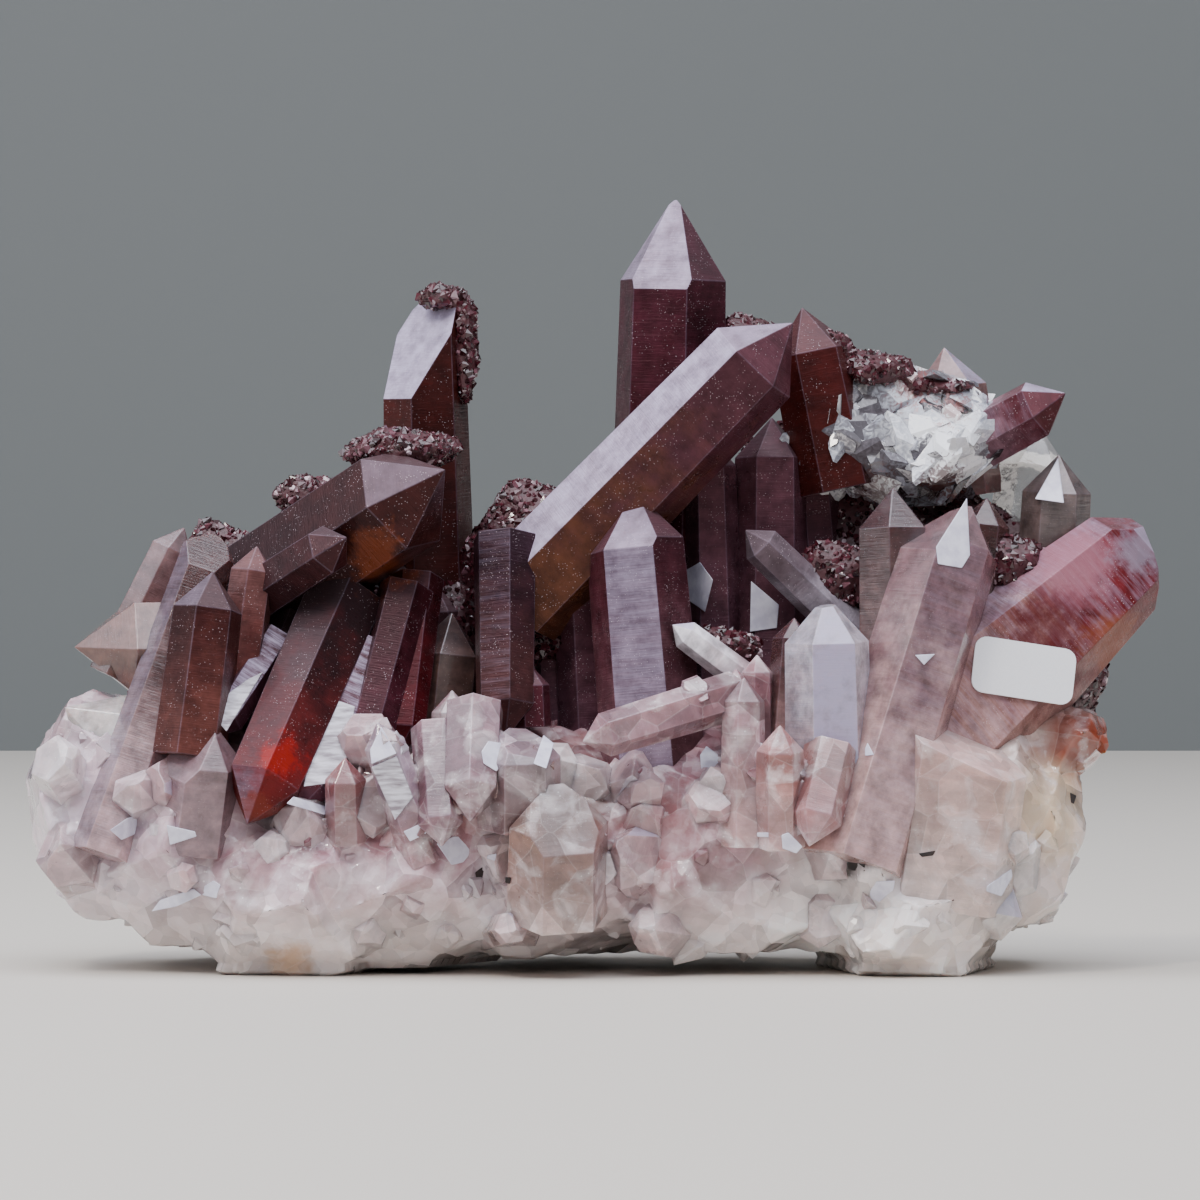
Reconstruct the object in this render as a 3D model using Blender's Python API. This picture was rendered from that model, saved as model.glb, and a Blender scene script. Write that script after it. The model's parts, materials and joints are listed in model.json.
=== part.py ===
"""Hematoid quartz crystals grown together on a pale quartz matrix, with a small blank paper label.

The specimen stands on its matrix. The origin is on the surface it stands on, under the middle of its box.
+X runs along the specimen to the right, +Y away from the side that shows best, +Z up.
Every crystal is a convex solid cut from six prism faces and six pyramid faces, as quartz grows.
Lengths in the tables are millimetres.
"""

import math
import random

import bmesh
import bpy
from mathutils import Matrix, Vector

MM = 0.001
SEED = 7

# The specimen is laid out as it is seen from in front, by an eye this far away and this high.
EYE_DISTANCE = 1100.0
EYE_HEIGHT = 75.0
# The heights in the tables are this much above the surface it stands on.
SETTLE = 2.0

# Quartz pyramid faces lean this far from the crystal's axis.
PYRAMID_LEAN = 52.0
# Prism faces open by this much towards the root.
PRISM_TAPER = 0.8
# Pieces that touch keep this gap.
GAP = 0.3

LABEL_WIDTH = 20.6
LABEL_HEIGHT = 11.2
LABEL_CORNER = 2.4
LABEL_THICKNESS = 0.5
LABEL_TILT = 7.0
# The label's middle as it is seen: across, up and about how deep.
LABEL_SEEN = (87.2, 61.2, -20)


def seen(across, up, depth):
    """The point at that depth which the eye sees at (across, up) on the plane through the origin."""
    reach = (EYE_DISTANCE + depth) / EYE_DISTANCE
    return Vector((across * reach, depth, EYE_HEIGHT - SETTLE + (up - EYE_HEIGHT) * reach))


class Crystal:
    """A quartz crystal from its root to its tip, both given as (across, up, depth).

    width is across its flats and roll turns the first prism face from the eye's side towards the right.
    flat presses the prism thinner from front to back. cuts lowers each pyramid face, in widths,
    starting at the front face and going round by the right. blunt breaks the tip off at that distance,
    with a face turned towards the right and the eye by the two slopes that follow.
    """

    def __init__(
        self, name, tip, root, width, roll=0, flat=1.0, cuts=(0,) * 6,
        lean=PYRAMID_LEAN, taper=PRISM_TAPER, blunt=None, floor=None,
    ):
        self.name = name
        self.tip = seen(*tip)
        self.root = seen(*root)
        self.width = width
        self.roll = roll
        self.flat = flat
        self.cuts = cuts
        self.lean = math.radians(lean)
        self.taper = math.radians(taper)
        self.blunt = blunt
        self.floor = floor

    def planes(self, grow=0.0):
        """The crystal's faces as (point, outward normal), moved out by grow."""
        axis = (self.tip - self.root).normalized()
        front = Vector((0, -1, 0)) if abs(axis.y) < 0.97 else Vector((0, 0, 1))
        front = (front - axis * front.dot(axis)).normalized()
        right = axis.cross(front)
        faces = [(self.root - axis * grow, -axis)]
        pyramid = self.width / 2 * math.tan(self.lean)
        for k in range(6):
            turn = math.radians(self.roll + 60 * k)
            side = front * math.cos(turn) + right * math.sin(turn)
            reach = self.width / 2 * math.hypot(self.flat * math.cos(turn), math.sin(turn))
            prism = side * math.cos(self.taper) + axis * math.sin(self.taper)
            faces.append((self.tip - axis * pyramid + side * reach + prism * grow, prism))
            slope = side * math.sin(self.lean) + axis * math.cos(self.lean)
            faces.append((self.tip - axis * self.cuts[k] * self.width + slope * grow, slope))
        if self.blunt:
            distance, to_right, to_eye = self.blunt
            broken = (axis + right * to_right + front * to_eye).normalized()
            faces.append((self.tip - axis * distance + broken * grow, broken))
        if self.floor is not None:
            faces.append((Vector((self.root.x, self.root.y, self.floor - grow)), Vector((0, 0, -1))))
        return faces


class Chunk:
    """A broken lump of matrix: an ellipsoid whittled flat by random planes, cut level at its floor."""

    def __init__(self, name, centre, half, floor, seed, faces=16):
        self.name = name
        self.centre = Vector(centre) - Vector((0, 0, SETTLE))
        self.half = Vector(half)
        self.floor = floor
        self.seed = seed
        self.faces = faces

    def planes(self, grow=0.0):
        rng = random.Random(self.seed)
        found = [(Vector((self.centre.x, self.centre.y, self.floor - grow)), Vector((0, 0, -1)))]
        golden = math.pi * (3 - math.sqrt(5))
        for k in range(self.faces):
            height = 1 - 2 * (k + 0.5) / self.faces
            turn = golden * k + rng.uniform(-0.25, 0.25)
            ring = math.sqrt(1 - height * height)
            way = Vector((ring * math.cos(turn), ring * math.sin(turn), height))
            reach = Vector((way.x * self.half.x, way.y * self.half.y, way.z * self.half.z))
            normal = Vector((way.x / self.half.x, way.y / self.half.y, way.z / self.half.z)).normalized()
            found.append((self.centre + reach * rng.uniform(0.86, 1.0) + normal * grow, normal))
        return found


# Crystals of the left side, from the back to the front.
LEFT = [
    Crystal("pale_left", (-102.6, 66, -8), (-70, 66, -2), 18, roll=28),
    Crystal("white_left", (-104.5, 54, -14), (-82, 40, -6), 15, roll=10),
    Crystal("short_upper_left", (-80.5, 90, -4), (-95, 60, -6), 8, roll=20),
    Crystal("long_left", (-73.5, 91, -8), (-97, 24, -24), 9.5, roll=0, cuts=(0.5, 0.1, 0, 0, 0, 0)),
    Crystal("stout_left", (-74.8, 81.2, -22), (-79.5, 44, -26), 12, roll=14),
    Crystal("small_left", (-66, 86.3, -16), (-70, 58, -18), 8, roll=20),
    Crystal("big_upper", (-28.3, 101.5, -26), (-66, 76, 4), 20, roll=20),
    Crystal("beside_big", (-48, 88, -28), (-68, 75, -10), 9, roll=30),
    Crystal("hanging_red", (-68, 30.5, -35), (-48, 76, -10), 14, roll=8),
    Crystal("bright_striped", (-75, 48, -26), (-62, 68, -14), 7, roll=0),
    Crystal("striped", (-58, 33, -31), (-43, 66, -14), 8.5, roll=0),
    Crystal("violet_prism", (-46.5, 38, -26), (-36, 78, -12), 8.5, roll=10),
    Crystal("red_prism", (-38, 44, -20), (-34, 80, -8), 8.5, roll=0),
    Crystal("grey_violet", (-75.5, 52, -30), (-79, 26, -24), 14, roll=12, cuts=(0, 0, 0, 0, 0, 0.2)),
    Crystal("upper_block", (-55, 84, -2), (-58, 44, 0), 26, roll=10),
]

# The tall crystal that stands behind them.
TALL_LEFT = [
    Crystal("tall_left", (-33, 146, 8), (-31, 60, 12), 14.5, roll=12, cuts=(0, 0, 0, 0, 0, 1.2), lean=60),
]

# The middle: dark columns, the great slanting crystal over them and the tallest one behind it.
CENTRE = [
    Crystal("grey_column", (-31, 80, 4), (-29, 36, 4), 11, roll=0),
    Crystal("pale_column", (-27, 73, -6), (-30, 44, -6), 13, roll=20),
    Crystal("hanging_column", (-16.4, 47.5, -20), (-16.5, 88, -8), 10.5, roll=20),
    Crystal("small_beside_it", (-11.4, 62.6, -16), (-11, 50, -16), 6.5, roll=10),
    Crystal("back_column_one", (-7.8, 80, 6), (-5, 40, 4), 9, roll=0),
    Crystal("back_column_two", (-1.4, 86, 0), (1, 40, 0), 10, roll=10),
    Crystal("front_column", (8.6, 98, -12), (13.6, 40, -16), 17, roll=-10, cuts=(0.1, 0, 0, 0, 0, 0.1)),
    Crystal("behind_front_column", (24.5, 108, 3), (26, 48, 3), 9, roll=0),
    Crystal("streaked_column", (37, 112, 6), (36.8, 52, 4), 13, roll=4),
    Crystal("side_column", (45, 106, 9), (49, 56, 8), 8.5, roll=0),
    Crystal("slanting_small", (31.6, 89.5, -12), (56, 66, -6), 7, roll=-10),
    Crystal("white_blade", (17, 70.5, -22), (33, 58.5, -18), 5.2, roll=0),
    Crystal("great_slanting", (41.2, 130.9, -12), (-14, 74.5, -2), 17.4, roll=7),
    Crystal("tallest", (17.6, 156.4, 12), (15.8, 78, 14), 19.2, roll=-16, lean=61, cuts=(0.1, 0, 0, 0, 0, 0)),
    Crystal("dark_red", (43, 134, 4), (50.5, 97.5, 4), 14.5, roll=5),
]

# The right side: smoky and clear crystals, and the great red one that carries the label.
RIGHT = [
    Crystal("smoky_front", (61.2, 98, -12), (62, 60, -14), 13, roll=20),
    Crystal("red_behind_it", (80, 96, -4), (76, 60, -6), 9, roll=0),
    Crystal("long_leaning", (76, 96.4, -14), (53.5, 22, -30), 17.4, roll=12, cuts=(0, 0, 0, 0, 0, 0.2)),
    Crystal("grey_front", (47.8, 76.5, -28), (48.6, 34, -26), 14.5, roll=8, blunt=(2.2, -0.1, 0.1)),
    Crystal("beside_grey", (41.5, 72, -20), (39.5, 46, -22), 7, roll=0),
    Crystal("great_red", (117, 91.6, -2), (62, 43, -12), 20.5, roll=0, flat=0.72, taper=6.5, blunt=(9, 0.5, -0.2)),
    Crystal("violet_tip", (95.8, 116.8, -2), (76, 106, 6), 10.6, roll=-20),
    Crystal("back_peak", (71.4, 126, 12), (75.6, 96, 12), 13, roll=0),
    Crystal("clear_side", (94.4, 104.6, 4), (92.4, 70, 6), 12, roll=0),
]

# The rest of the clear right side: a broken clear mass and the pale crystal that stands behind it.
CLEAR = [
    Chunk("broken_clear", (63, 6, 109.5), (21, 13, 13), 94, 31, faces=26),
    Crystal("clear_back", (90.6, 110, 14), (84.6, 66, 12), 13, roll=0),
]

# Drusy dark rock that joins the crystals behind, and crusts of small crystals along their edges.
CRUSTS = [
    Chunk("back_left", (-66, 12, 60), (26, 16, 30), 30, 41),
    Chunk("back_mid_left", (-34, 14, 58), (24, 16, 34), 30, 42),
    Chunk("saddle", (-10, 8, 79), (17, 14, 21), 40, 43, faces=26),
    Chunk("back_middle", (16, 17, 66), (28, 15, 40), 30, 44),
    Chunk("back_right", (50, 16, 68), (30, 15, 44), 30, 45),
    Chunk("back_far_right", (82, 12, 62), (20, 14, 34), 30, 46),
    Chunk("crust_tall_side", (-24.6, 8, 126), (3.4, 5, 13), 112, 51),
    Chunk("crust_tall_top", (-29, 9, 136.5), (6, 7, 3.6), 131, 52),
    Chunk("crust_big_upper", (-37, -8, 105), (13, 10, 5), 99, 53),
    Chunk("crust_big_back", (-53, -1, 96), (11, 8, 5), 88, 54),
    Chunk("crust_dark_red", (48, 4, 126), (6.5, 6, 4.5), 119, 55),
    Chunk("crust_over_clear", (58, 5, 121.5), (9, 9, 4.5), 114, 60),
    Chunk("crust_behind_peak", (32, 16, 128), (8, 8, 6), 116, 56),
    Chunk("crust_slanting", (49, -7, 80), (10, 5, 8), 68, 57),
    Chunk("crust_blade", (27, -14, 66), (9, 6, 5), 58, 58),
    Chunk("crust_right", (84, -4, 82), (9, 7, 7), 70, 59),
]

# Lumps of the matrix from left to right.
MATRIX = [
    Chunk("left_lobe", (-95, 0, 34), (18, 26, 24), 9, 11, faces=20),
    Chunk("left_body", (-76, 0, 27), (24, 32, 27), 4, 12, faces=20),
    Chunk("left_foot", (-58, -4, 18), (24, 34, 22), 0, 13, faces=20),
    Chunk("mid_left", (-34, -2, 24), (26, 36, 25), 1.2, 14, faces=20),
    Chunk("middle", (-4, 0, 26), (28, 36, 27), 2.2, 15, faces=20),
    Chunk("mid_right", (28, 0, 26), (28, 36, 28), 3.2, 16, faces=20),
    Chunk("right_body", (58, 0, 28), (26, 35, 29), 3.0, 17, faces=20),
    Chunk("right_foot", (63, -3, 12), (20, 34, 16), 0, 18, faces=18),
    Chunk("right_end", (80, 0, 30), (20, 28, 27), 8, 19, faces=20),
    Chunk("orange_lump", (95, -4, 47.5), (9.5, 13, 8), 36, 20),
    Chunk("beige_block", (89.5, -8, 31), (10.5, 16, 13), 12, 21),
]

# Crystals that stand out of the front of the matrix.
STUBS = [
    Crystal("red_tipped", (-48.4, 44, -34), (-48, 27, -30), 7, roll=0),
    Crystal("banded", (-42, 51, -38), (-32.5, 23, -33), 7, roll=0),
    Crystal("violet_hanging", (-29, 26, -41), (-30.5, 50, -30), 7.6, roll=0),
    Crystal("mauve_hanging", (-23.4, 31, -42), (-22.4, 54, -30), 10, roll=12),
    Crystal("little_grey", (-27, 57.5, -22), (-27, 44, -22), 7, roll=0),
    Crystal("striped_block", (-13.5, 53, -36), (-13.5, 30, -32), 14, roll=10, blunt=(5, 0.2, 0.4)),
    Crystal("lying", (-1, 47, -40), (30, 56.5, -28), 7.6, roll=0),
    Crystal("tan_broken", (-5.5, 41, -42), (-6, 12, -32), 17, roll=14, blunt=(6, 0.2, 0.9)),
    Crystal("pink_column", (31.4, 60, -32), (31, 26, -32), 7.4, roll=14),
    Crystal("tip_one", (29.8, 61.8, -26), (30, 46, -26), 5, roll=0),
    Crystal("tip_two", (34, 64.6, -24), (34, 46, -24), 5.6, roll=20),
    Crystal("orange_prism", (38.6, 50.5, -38), (38.6, 26, -34), 8, roll=0),
    Crystal("red_hanging", (44.4, 26, -40), (49, 46, -32), 9, roll=0),
    Crystal("pink_block", (78, 63, -30), (71, 14, -26), 24, roll=0, flat=0.6, blunt=(17, 0.3, 0.3)),
]
for stub in STUBS:
    stub.floor = 4.0

# Crystals on the far side, which the visible ones suggest.
BACK = [
    Crystal("back_one", (-84, 70, 30), (-76, 34, 12), 13, roll=10),
    Crystal("back_two", (-58, 92, 26), (-54, 46, 12), 15, roll=25),
    Crystal("back_three", (-34, 84, 36), (-30, 42, 16), 12, roll=5),
    Crystal("back_four", (-8, 84, 36), (-10, 42, 12), 15, roll=12),
    Crystal("back_five", (16, 99, 36), (14, 46, 14), 17, roll=20),
    Crystal("back_six", (42, 106, 32), (38, 50, 14), 14, roll=0),
    Crystal("back_seven", (64, 94, 34), (60, 44, 14), 15, roll=8),
    Crystal("back_eight", (86, 80, 30), (78, 40, 12), 13, roll=22),
    Crystal("back_nine", (2, 62, 42), (4, 34, 18), 11, roll=0),
    Crystal("back_ten", (-60, 60, 40), (-58, 34, 18), 12, roll=15),
    Crystal("back_eleven", (50, 64, 42), (48, 34, 18), 12, roll=15),
]

# Small crystals all over the matrix, how many and between which widths.
STUB_COUNT = 86
STUB_WIDTHS = (5.0, 13.0)


def stubs():
    """Small crystals that stand out of the matrix all round, more in front than behind."""
    rng = random.Random(SEED)
    found = []
    for k in range(STUB_COUNT):
        across = rng.uniform(-104, 92)
        side = -1 if rng.random() < 0.6 else 1
        body = 33 - 12 * abs((across + 4) / 106) ** 4
        low, high = (7, 40) if abs(across) < 85 else (16, 44)
        up = rng.uniform(low, high)
        width = rng.uniform(*STUB_WIDTHS)
        root = (across, up, side * (body - 20))
        tip = (across + rng.uniform(-9, 9), up + rng.uniform(-3, 13), side * (body + rng.uniform(0, 7)))
        blunt = (width * rng.uniform(0.1, 0.6), rng.uniform(-0.5, 0.5), rng.uniform(-0.5, 0.5))
        crystal = Crystal(
            f"stub_{k:02d}", tip, root, width, roll=rng.uniform(0, 60),
            cuts=[rng.choice((0, 0, 0.2)) for _ in range(6)],
            blunt=blunt if rng.random() < 0.5 else None, floor=2.6 + 0.11 * (k % 19),
        )
        found.append(crystal)
    return found


def spikes(crust):
    """Short crystals that stick out of a crust all round its upper side."""
    rng = random.Random(crust.seed)
    found = []
    count = int(4 + crust.half.x * crust.half.y / 14)
    for k in range(count):
        way = Vector((rng.gauss(0, 1), rng.gauss(0, 1), abs(rng.gauss(0, 1)) + 0.2)).normalized()
        reach = Vector((way.x * crust.half.x, way.y * crust.half.y, way.z * crust.half.z))
        normal = Vector((way.x / crust.half.x, way.y / crust.half.y, way.z / crust.half.z)).normalized()
        crystal = Crystal(f"{crust.name}_{k}", (0, 0, 0), (0, 1, 0), rng.uniform(3.2, 5.6), roll=rng.uniform(0, 60))
        crystal.root = crust.centre + reach * 0.3
        crystal.tip = crust.centre + reach + (normal * 1.2 + Vector((rng.gauss(0, 0.6), rng.gauss(0, 0.6), 0)))
        found.append(crystal)
    return found


def convex(planes, reach=400.0):
    """The convex solid inside the planes, as a bmesh in millimetres."""
    solid = bmesh.new()
    middle = sum((point for point, _ in planes), Vector()) / len(planes)
    bmesh.ops.create_cube(solid, size=2 * reach, matrix=Matrix.Translation(middle))
    for point, normal in planes:
        everything = solid.verts[:] + solid.edges[:] + solid.faces[:]
        cut = bmesh.ops.bisect_plane(
            solid, geom=everything, dist=1e-5, plane_co=point, plane_no=normal, clear_outer=True
        )
        rim = [item for item in cut["geom_cut"] if isinstance(item, bmesh.types.BMEdge)]
        open_rim = [edge for edge in rim if len(edge.link_faces) == 1]
        if open_rim:
            bmesh.ops.contextual_create(solid, geom=open_rim)
    corners = [vertex.co.copy() for vertex in solid.verts]
    solid.clear()
    for corner in corners:
        solid.verts.new(corner)
    bmesh.ops.remove_doubles(solid, verts=solid.verts[:], dist=2e-3)
    hull = bmesh.ops.convex_hull(solid, input=solid.verts[:])
    loose = [item for item in hull["geom_interior"] + hull["geom_unused"] if isinstance(item, bmesh.types.BMVert)]
    bmesh.ops.delete(solid, geom=list(set(loose)), context="VERTS")
    bmesh.ops.dissolve_limit(
        solid, angle_limit=math.radians(0.2), verts=solid.verts[:], edges=solid.edges[:], delimit=set()
    )
    bmesh.ops.recalc_face_normals(solid, faces=solid.faces[:])
    return solid


def shape(piece, grow=0.0):
    """A helper object of one crystal or chunk, in metres."""
    solid = convex(piece.planes(grow))
    bmesh.ops.scale(solid, vec=(MM, MM, MM), verts=solid.verts[:])
    mesh = bpy.data.meshes.new(piece.name)
    solid.to_mesh(mesh)
    solid.free()
    return bpy.data.objects.new(piece.name, mesh)


def group(name, helpers):
    """A collection of helper objects, linked so that modifiers can use them."""
    found = bpy.data.collections.new(name)
    bpy.context.scene.collection.children.link(found)
    for helper in helpers:
        found.objects.link(helper)
    return found


def combined(body, others, operation):
    """The body's mesh after one exact Boolean with all the others."""
    bpy.context.scene.collection.objects.link(body)
    cutters = group(f"{body.name}_{operation}", others)
    boolean = body.modifiers.new("combine", "BOOLEAN")
    boolean.operation = operation
    boolean.solver = "EXACT"
    boolean.operand_type = "COLLECTION"
    boolean.collection = cutters
    bpy.context.view_layer.update()
    done = body.evaluated_get(bpy.context.evaluated_depsgraph_get())
    mesh = bpy.data.meshes.new_from_object(done)
    for helper in list(cutters.objects):
        bpy.data.objects.remove(helper)
    bpy.data.collections.remove(cutters)
    bpy.data.objects.remove(body)
    return mesh


def united(name, pieces):
    helpers = [shape(piece) for piece in pieces]
    mesh = combined(helpers[0], helpers[1:], "UNION")
    mesh.name = name
    return bpy.data.objects.new(name, mesh)


def tidied(mesh):
    """Merge stray vertices, keep the largest closed body and drop slivers and sealed hollows."""
    solid = bmesh.new()
    solid.from_mesh(mesh)
    bmesh.ops.remove_doubles(solid, verts=solid.verts[:], dist=2e-6)
    bmesh.ops.dissolve_degenerate(solid, edges=solid.edges[:], dist=2e-6)
    bmesh.ops.dissolve_limit(
        solid, angle_limit=math.radians(0.3), verts=solid.verts[:], edges=solid.edges[:], delimit=set()
    )
    bmesh.ops.triangulate(solid, faces=solid.faces[:])
    seen_faces = set()
    bodies = []
    for face in solid.faces:
        if face in seen_faces:
            continue
        body, queue = [], [face]
        seen_faces.add(face)
        while queue:
            here = queue.pop()
            body.append(here)
            for edge in here.edges:
                for near in edge.link_faces:
                    if near not in seen_faces:
                        seen_faces.add(near)
                        queue.append(near)
        volume = 0.0
        for part in body:
            a, b, c = (loop.vert.co for loop in part.loops)
            volume += a.dot(b.cross(c)) / 6
        bodies.append((volume, body))
    bodies.sort(key=lambda item: item[0])
    spare = [face for _, body in bodies[:-1] for face in body]
    print("bodies:", [round(volume * 1e9, 1) for volume, _ in bodies][-6:], "dropped faces", len(spare))
    bmesh.ops.delete(solid, geom=spare, context="FACES")
    open_edges = [edge for edge in solid.edges if len(edge.link_faces) != 2]
    print("triangles", len(solid.faces), "open or branching edges", len(open_edges))
    solid.to_mesh(mesh)
    solid.free()
    mesh.update()


def label_frame():
    """The label's middle on the great red crystal's front face, with its right, up and outward directions."""
    carrier = next(crystal for crystal in RIGHT if crystal.name == "great_red")
    point, outward = next(
        (point, normal) for point, normal in carrier.planes()[1:] if normal.y < -0.9
    )
    eye = Vector((0, -EYE_DISTANCE, EYE_HEIGHT - SETTLE))
    sight = seen(*LABEL_SEEN) - eye
    middle = eye + sight * ((point - eye).dot(outward) / sight.dot(outward))
    tilt = math.radians(LABEL_TILT)
    right = Vector((math.cos(tilt), 0, -math.sin(tilt)))
    right = (right - outward * right.dot(outward)).normalized()
    return middle, right, outward.cross(right), outward


def label_outline(grow=0.0, corner_steps=5):
    """The rounded outline in the label's own plane, in millimetres."""
    found = []
    half_w, half_h = LABEL_WIDTH / 2 + grow, LABEL_HEIGHT / 2 + grow
    radius = LABEL_CORNER + grow
    for quarter, (sx, sy) in enumerate(((1, 1), (-1, 1), (-1, -1), (1, -1))):
        for step in range(corner_steps + 1):
            turn = math.radians(90 * (quarter + step / corner_steps))
            found.append((
                sx * (half_w - radius) + radius * math.cos(turn),
                sy * (half_h - radius) + radius * math.sin(turn),
            ))
    return found


def label_solid(name, grow, near, far):
    """A plate in the label's outline between two distances from the crystal's face."""
    middle, right, up, outward = label_frame()
    outline = label_outline(grow)
    vertices = []
    for distance in (near, far):
        for x, y in outline:
            vertices.append((middle + right * x + up * y + outward * distance) * MM)
    count = len(outline)
    faces = [list(range(count))[::-1], list(range(count, 2 * count))]
    for k in range(count):
        after = (k + 1) % count
        faces.append([k, after, count + after, count + k])
    mesh = bpy.data.meshes.new(name)
    mesh.from_pydata([tuple(v) for v in vertices], [], faces)
    solid = bmesh.new()
    solid.from_mesh(mesh)
    bmesh.ops.recalc_face_normals(solid, faces=solid.faces[:])
    solid.to_mesh(mesh)
    solid.free()
    return bpy.data.objects.new(name, mesh)


def main():
    for thing in list(bpy.data.objects):
        bpy.data.objects.remove(thing)

    ground = MATRIX + STUBS + stubs()
    growth = CENTRE + LEFT + TALL_LEFT + RIGHT + CLEAR + CRUSTS + BACK
    for crust in CRUSTS:
        if crust.name.startswith("crust"):
            growth = growth + spikes(crust)

    matrix = united("matrix", ground)
    quartz = united("hematoid_quartz", growth)
    cutters = [shape(piece, GAP) for piece in ground]
    cutters.append(label_solid("label_room", GAP, 0.02, 12.0))
    mesh = combined(quartz, cutters, "DIFFERENCE")
    quartz = bpy.data.objects.new("hematoid_quartz", mesh)
    mesh.name = "hematoid_quartz"
    label = label_solid("paper_label", 0.0, GAP, GAP + LABEL_THICKNESS)
    label.data.name = "paper_label"

    for thing in (matrix, quartz):
        tidied(thing.data)
    for thing in (matrix, quartz, label):
        bpy.context.scene.collection.objects.link(thing)

    corners = [v.co for thing in (matrix, quartz, label) for v in thing.data.vertices]
    low = [min(co[k] for co in corners) for k in range(3)]
    high = [max(co[k] for co in corners) for k in range(3)]
    shift = Matrix.Translation((-(low[0] + high[0]) / 2, -(low[1] + high[1]) / 2, -low[2]))
    for thing in (matrix, quartz, label):
        thing.data.transform(shift)
        for polygon in thing.data.polygons:
            polygon.use_smooth = False
    print("shift in mm", [round(v / MM, 2) for v in shift.translation])
    print("size in mm", [round((b - a) / MM, 2) for a, b in zip(low, high)])


if __name__ == "__main__":
    main()
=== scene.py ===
# %% [markdown]
# # Hematoid quartz in matrix
# A cluster of quartz crystals, stained deep red by iron, on a mass of pale milky quartz.
# The solids come first and stay as they are: everything below is laid over them in the same place and size.

# %% The frame
import json
import math
import random

import bmesh
import bpy
import numpy as np
from mathutils import Matrix, Vector, noise

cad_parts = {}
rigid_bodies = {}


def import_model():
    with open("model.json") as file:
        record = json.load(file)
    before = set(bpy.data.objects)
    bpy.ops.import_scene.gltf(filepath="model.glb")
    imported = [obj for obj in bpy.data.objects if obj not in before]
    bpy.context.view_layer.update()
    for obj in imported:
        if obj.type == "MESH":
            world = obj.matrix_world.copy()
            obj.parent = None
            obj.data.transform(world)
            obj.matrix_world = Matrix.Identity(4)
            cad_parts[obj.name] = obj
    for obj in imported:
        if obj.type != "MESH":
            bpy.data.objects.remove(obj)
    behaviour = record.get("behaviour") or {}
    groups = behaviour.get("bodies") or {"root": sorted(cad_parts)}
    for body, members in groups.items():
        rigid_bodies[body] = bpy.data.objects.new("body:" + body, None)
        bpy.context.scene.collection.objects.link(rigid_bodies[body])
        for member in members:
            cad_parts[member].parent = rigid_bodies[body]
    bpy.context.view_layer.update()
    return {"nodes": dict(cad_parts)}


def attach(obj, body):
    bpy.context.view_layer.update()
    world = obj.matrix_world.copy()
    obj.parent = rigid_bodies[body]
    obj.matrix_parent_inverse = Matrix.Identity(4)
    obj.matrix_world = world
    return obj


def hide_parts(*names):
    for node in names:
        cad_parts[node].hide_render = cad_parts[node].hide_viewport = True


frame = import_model()
MM = 0.001
print("solids:", sorted(frame["nodes"]))

# %% [markdown]
# ## Where things are
# The crystals are laid out as they are seen from in front: across and up on the plane through the origin,
# in millimetres, and how deep each one lies. The eye is far away, so the view is nearly flat.

# %% The eye
EYE_DISTANCE = 1100.0
EYE_HEIGHT = 75.0
SETTLE = 2.0
CENTRING = Vector((-0.14, 1.91, 0.0))
PYRAMID_LEAN = 52.0
PRISM_TAPER = 0.8
SEED = 7


def seen(across, up, depth):
    """The point at that depth which the eye sees at (across, up) on the plane through the origin."""
    reach = (EYE_DISTANCE + depth) / EYE_DISTANCE
    return Vector((across * reach, depth, EYE_HEIGHT - SETTLE + (up - EYE_HEIGHT) * reach))


# %% [markdown]
# ## What a quartz crystal is
# Quartz grows as a six-sided prism that ends in six sloping faces. They meet in a point only when they grow
# alike, and where one grows slower it becomes the large face that gives each crystal its character.
# So a crystal here is the room left inside thirteen planes, and each sloping plane can be lowered by itself.
# A lump of matrix or crust is the same thing with planes all round a ball that was pressed into shape.

# %% Crystals and chunks as sets of planes
# A crystal that points this straight at the eye or away from it takes its front from above.
END_ON = 0.97


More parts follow.
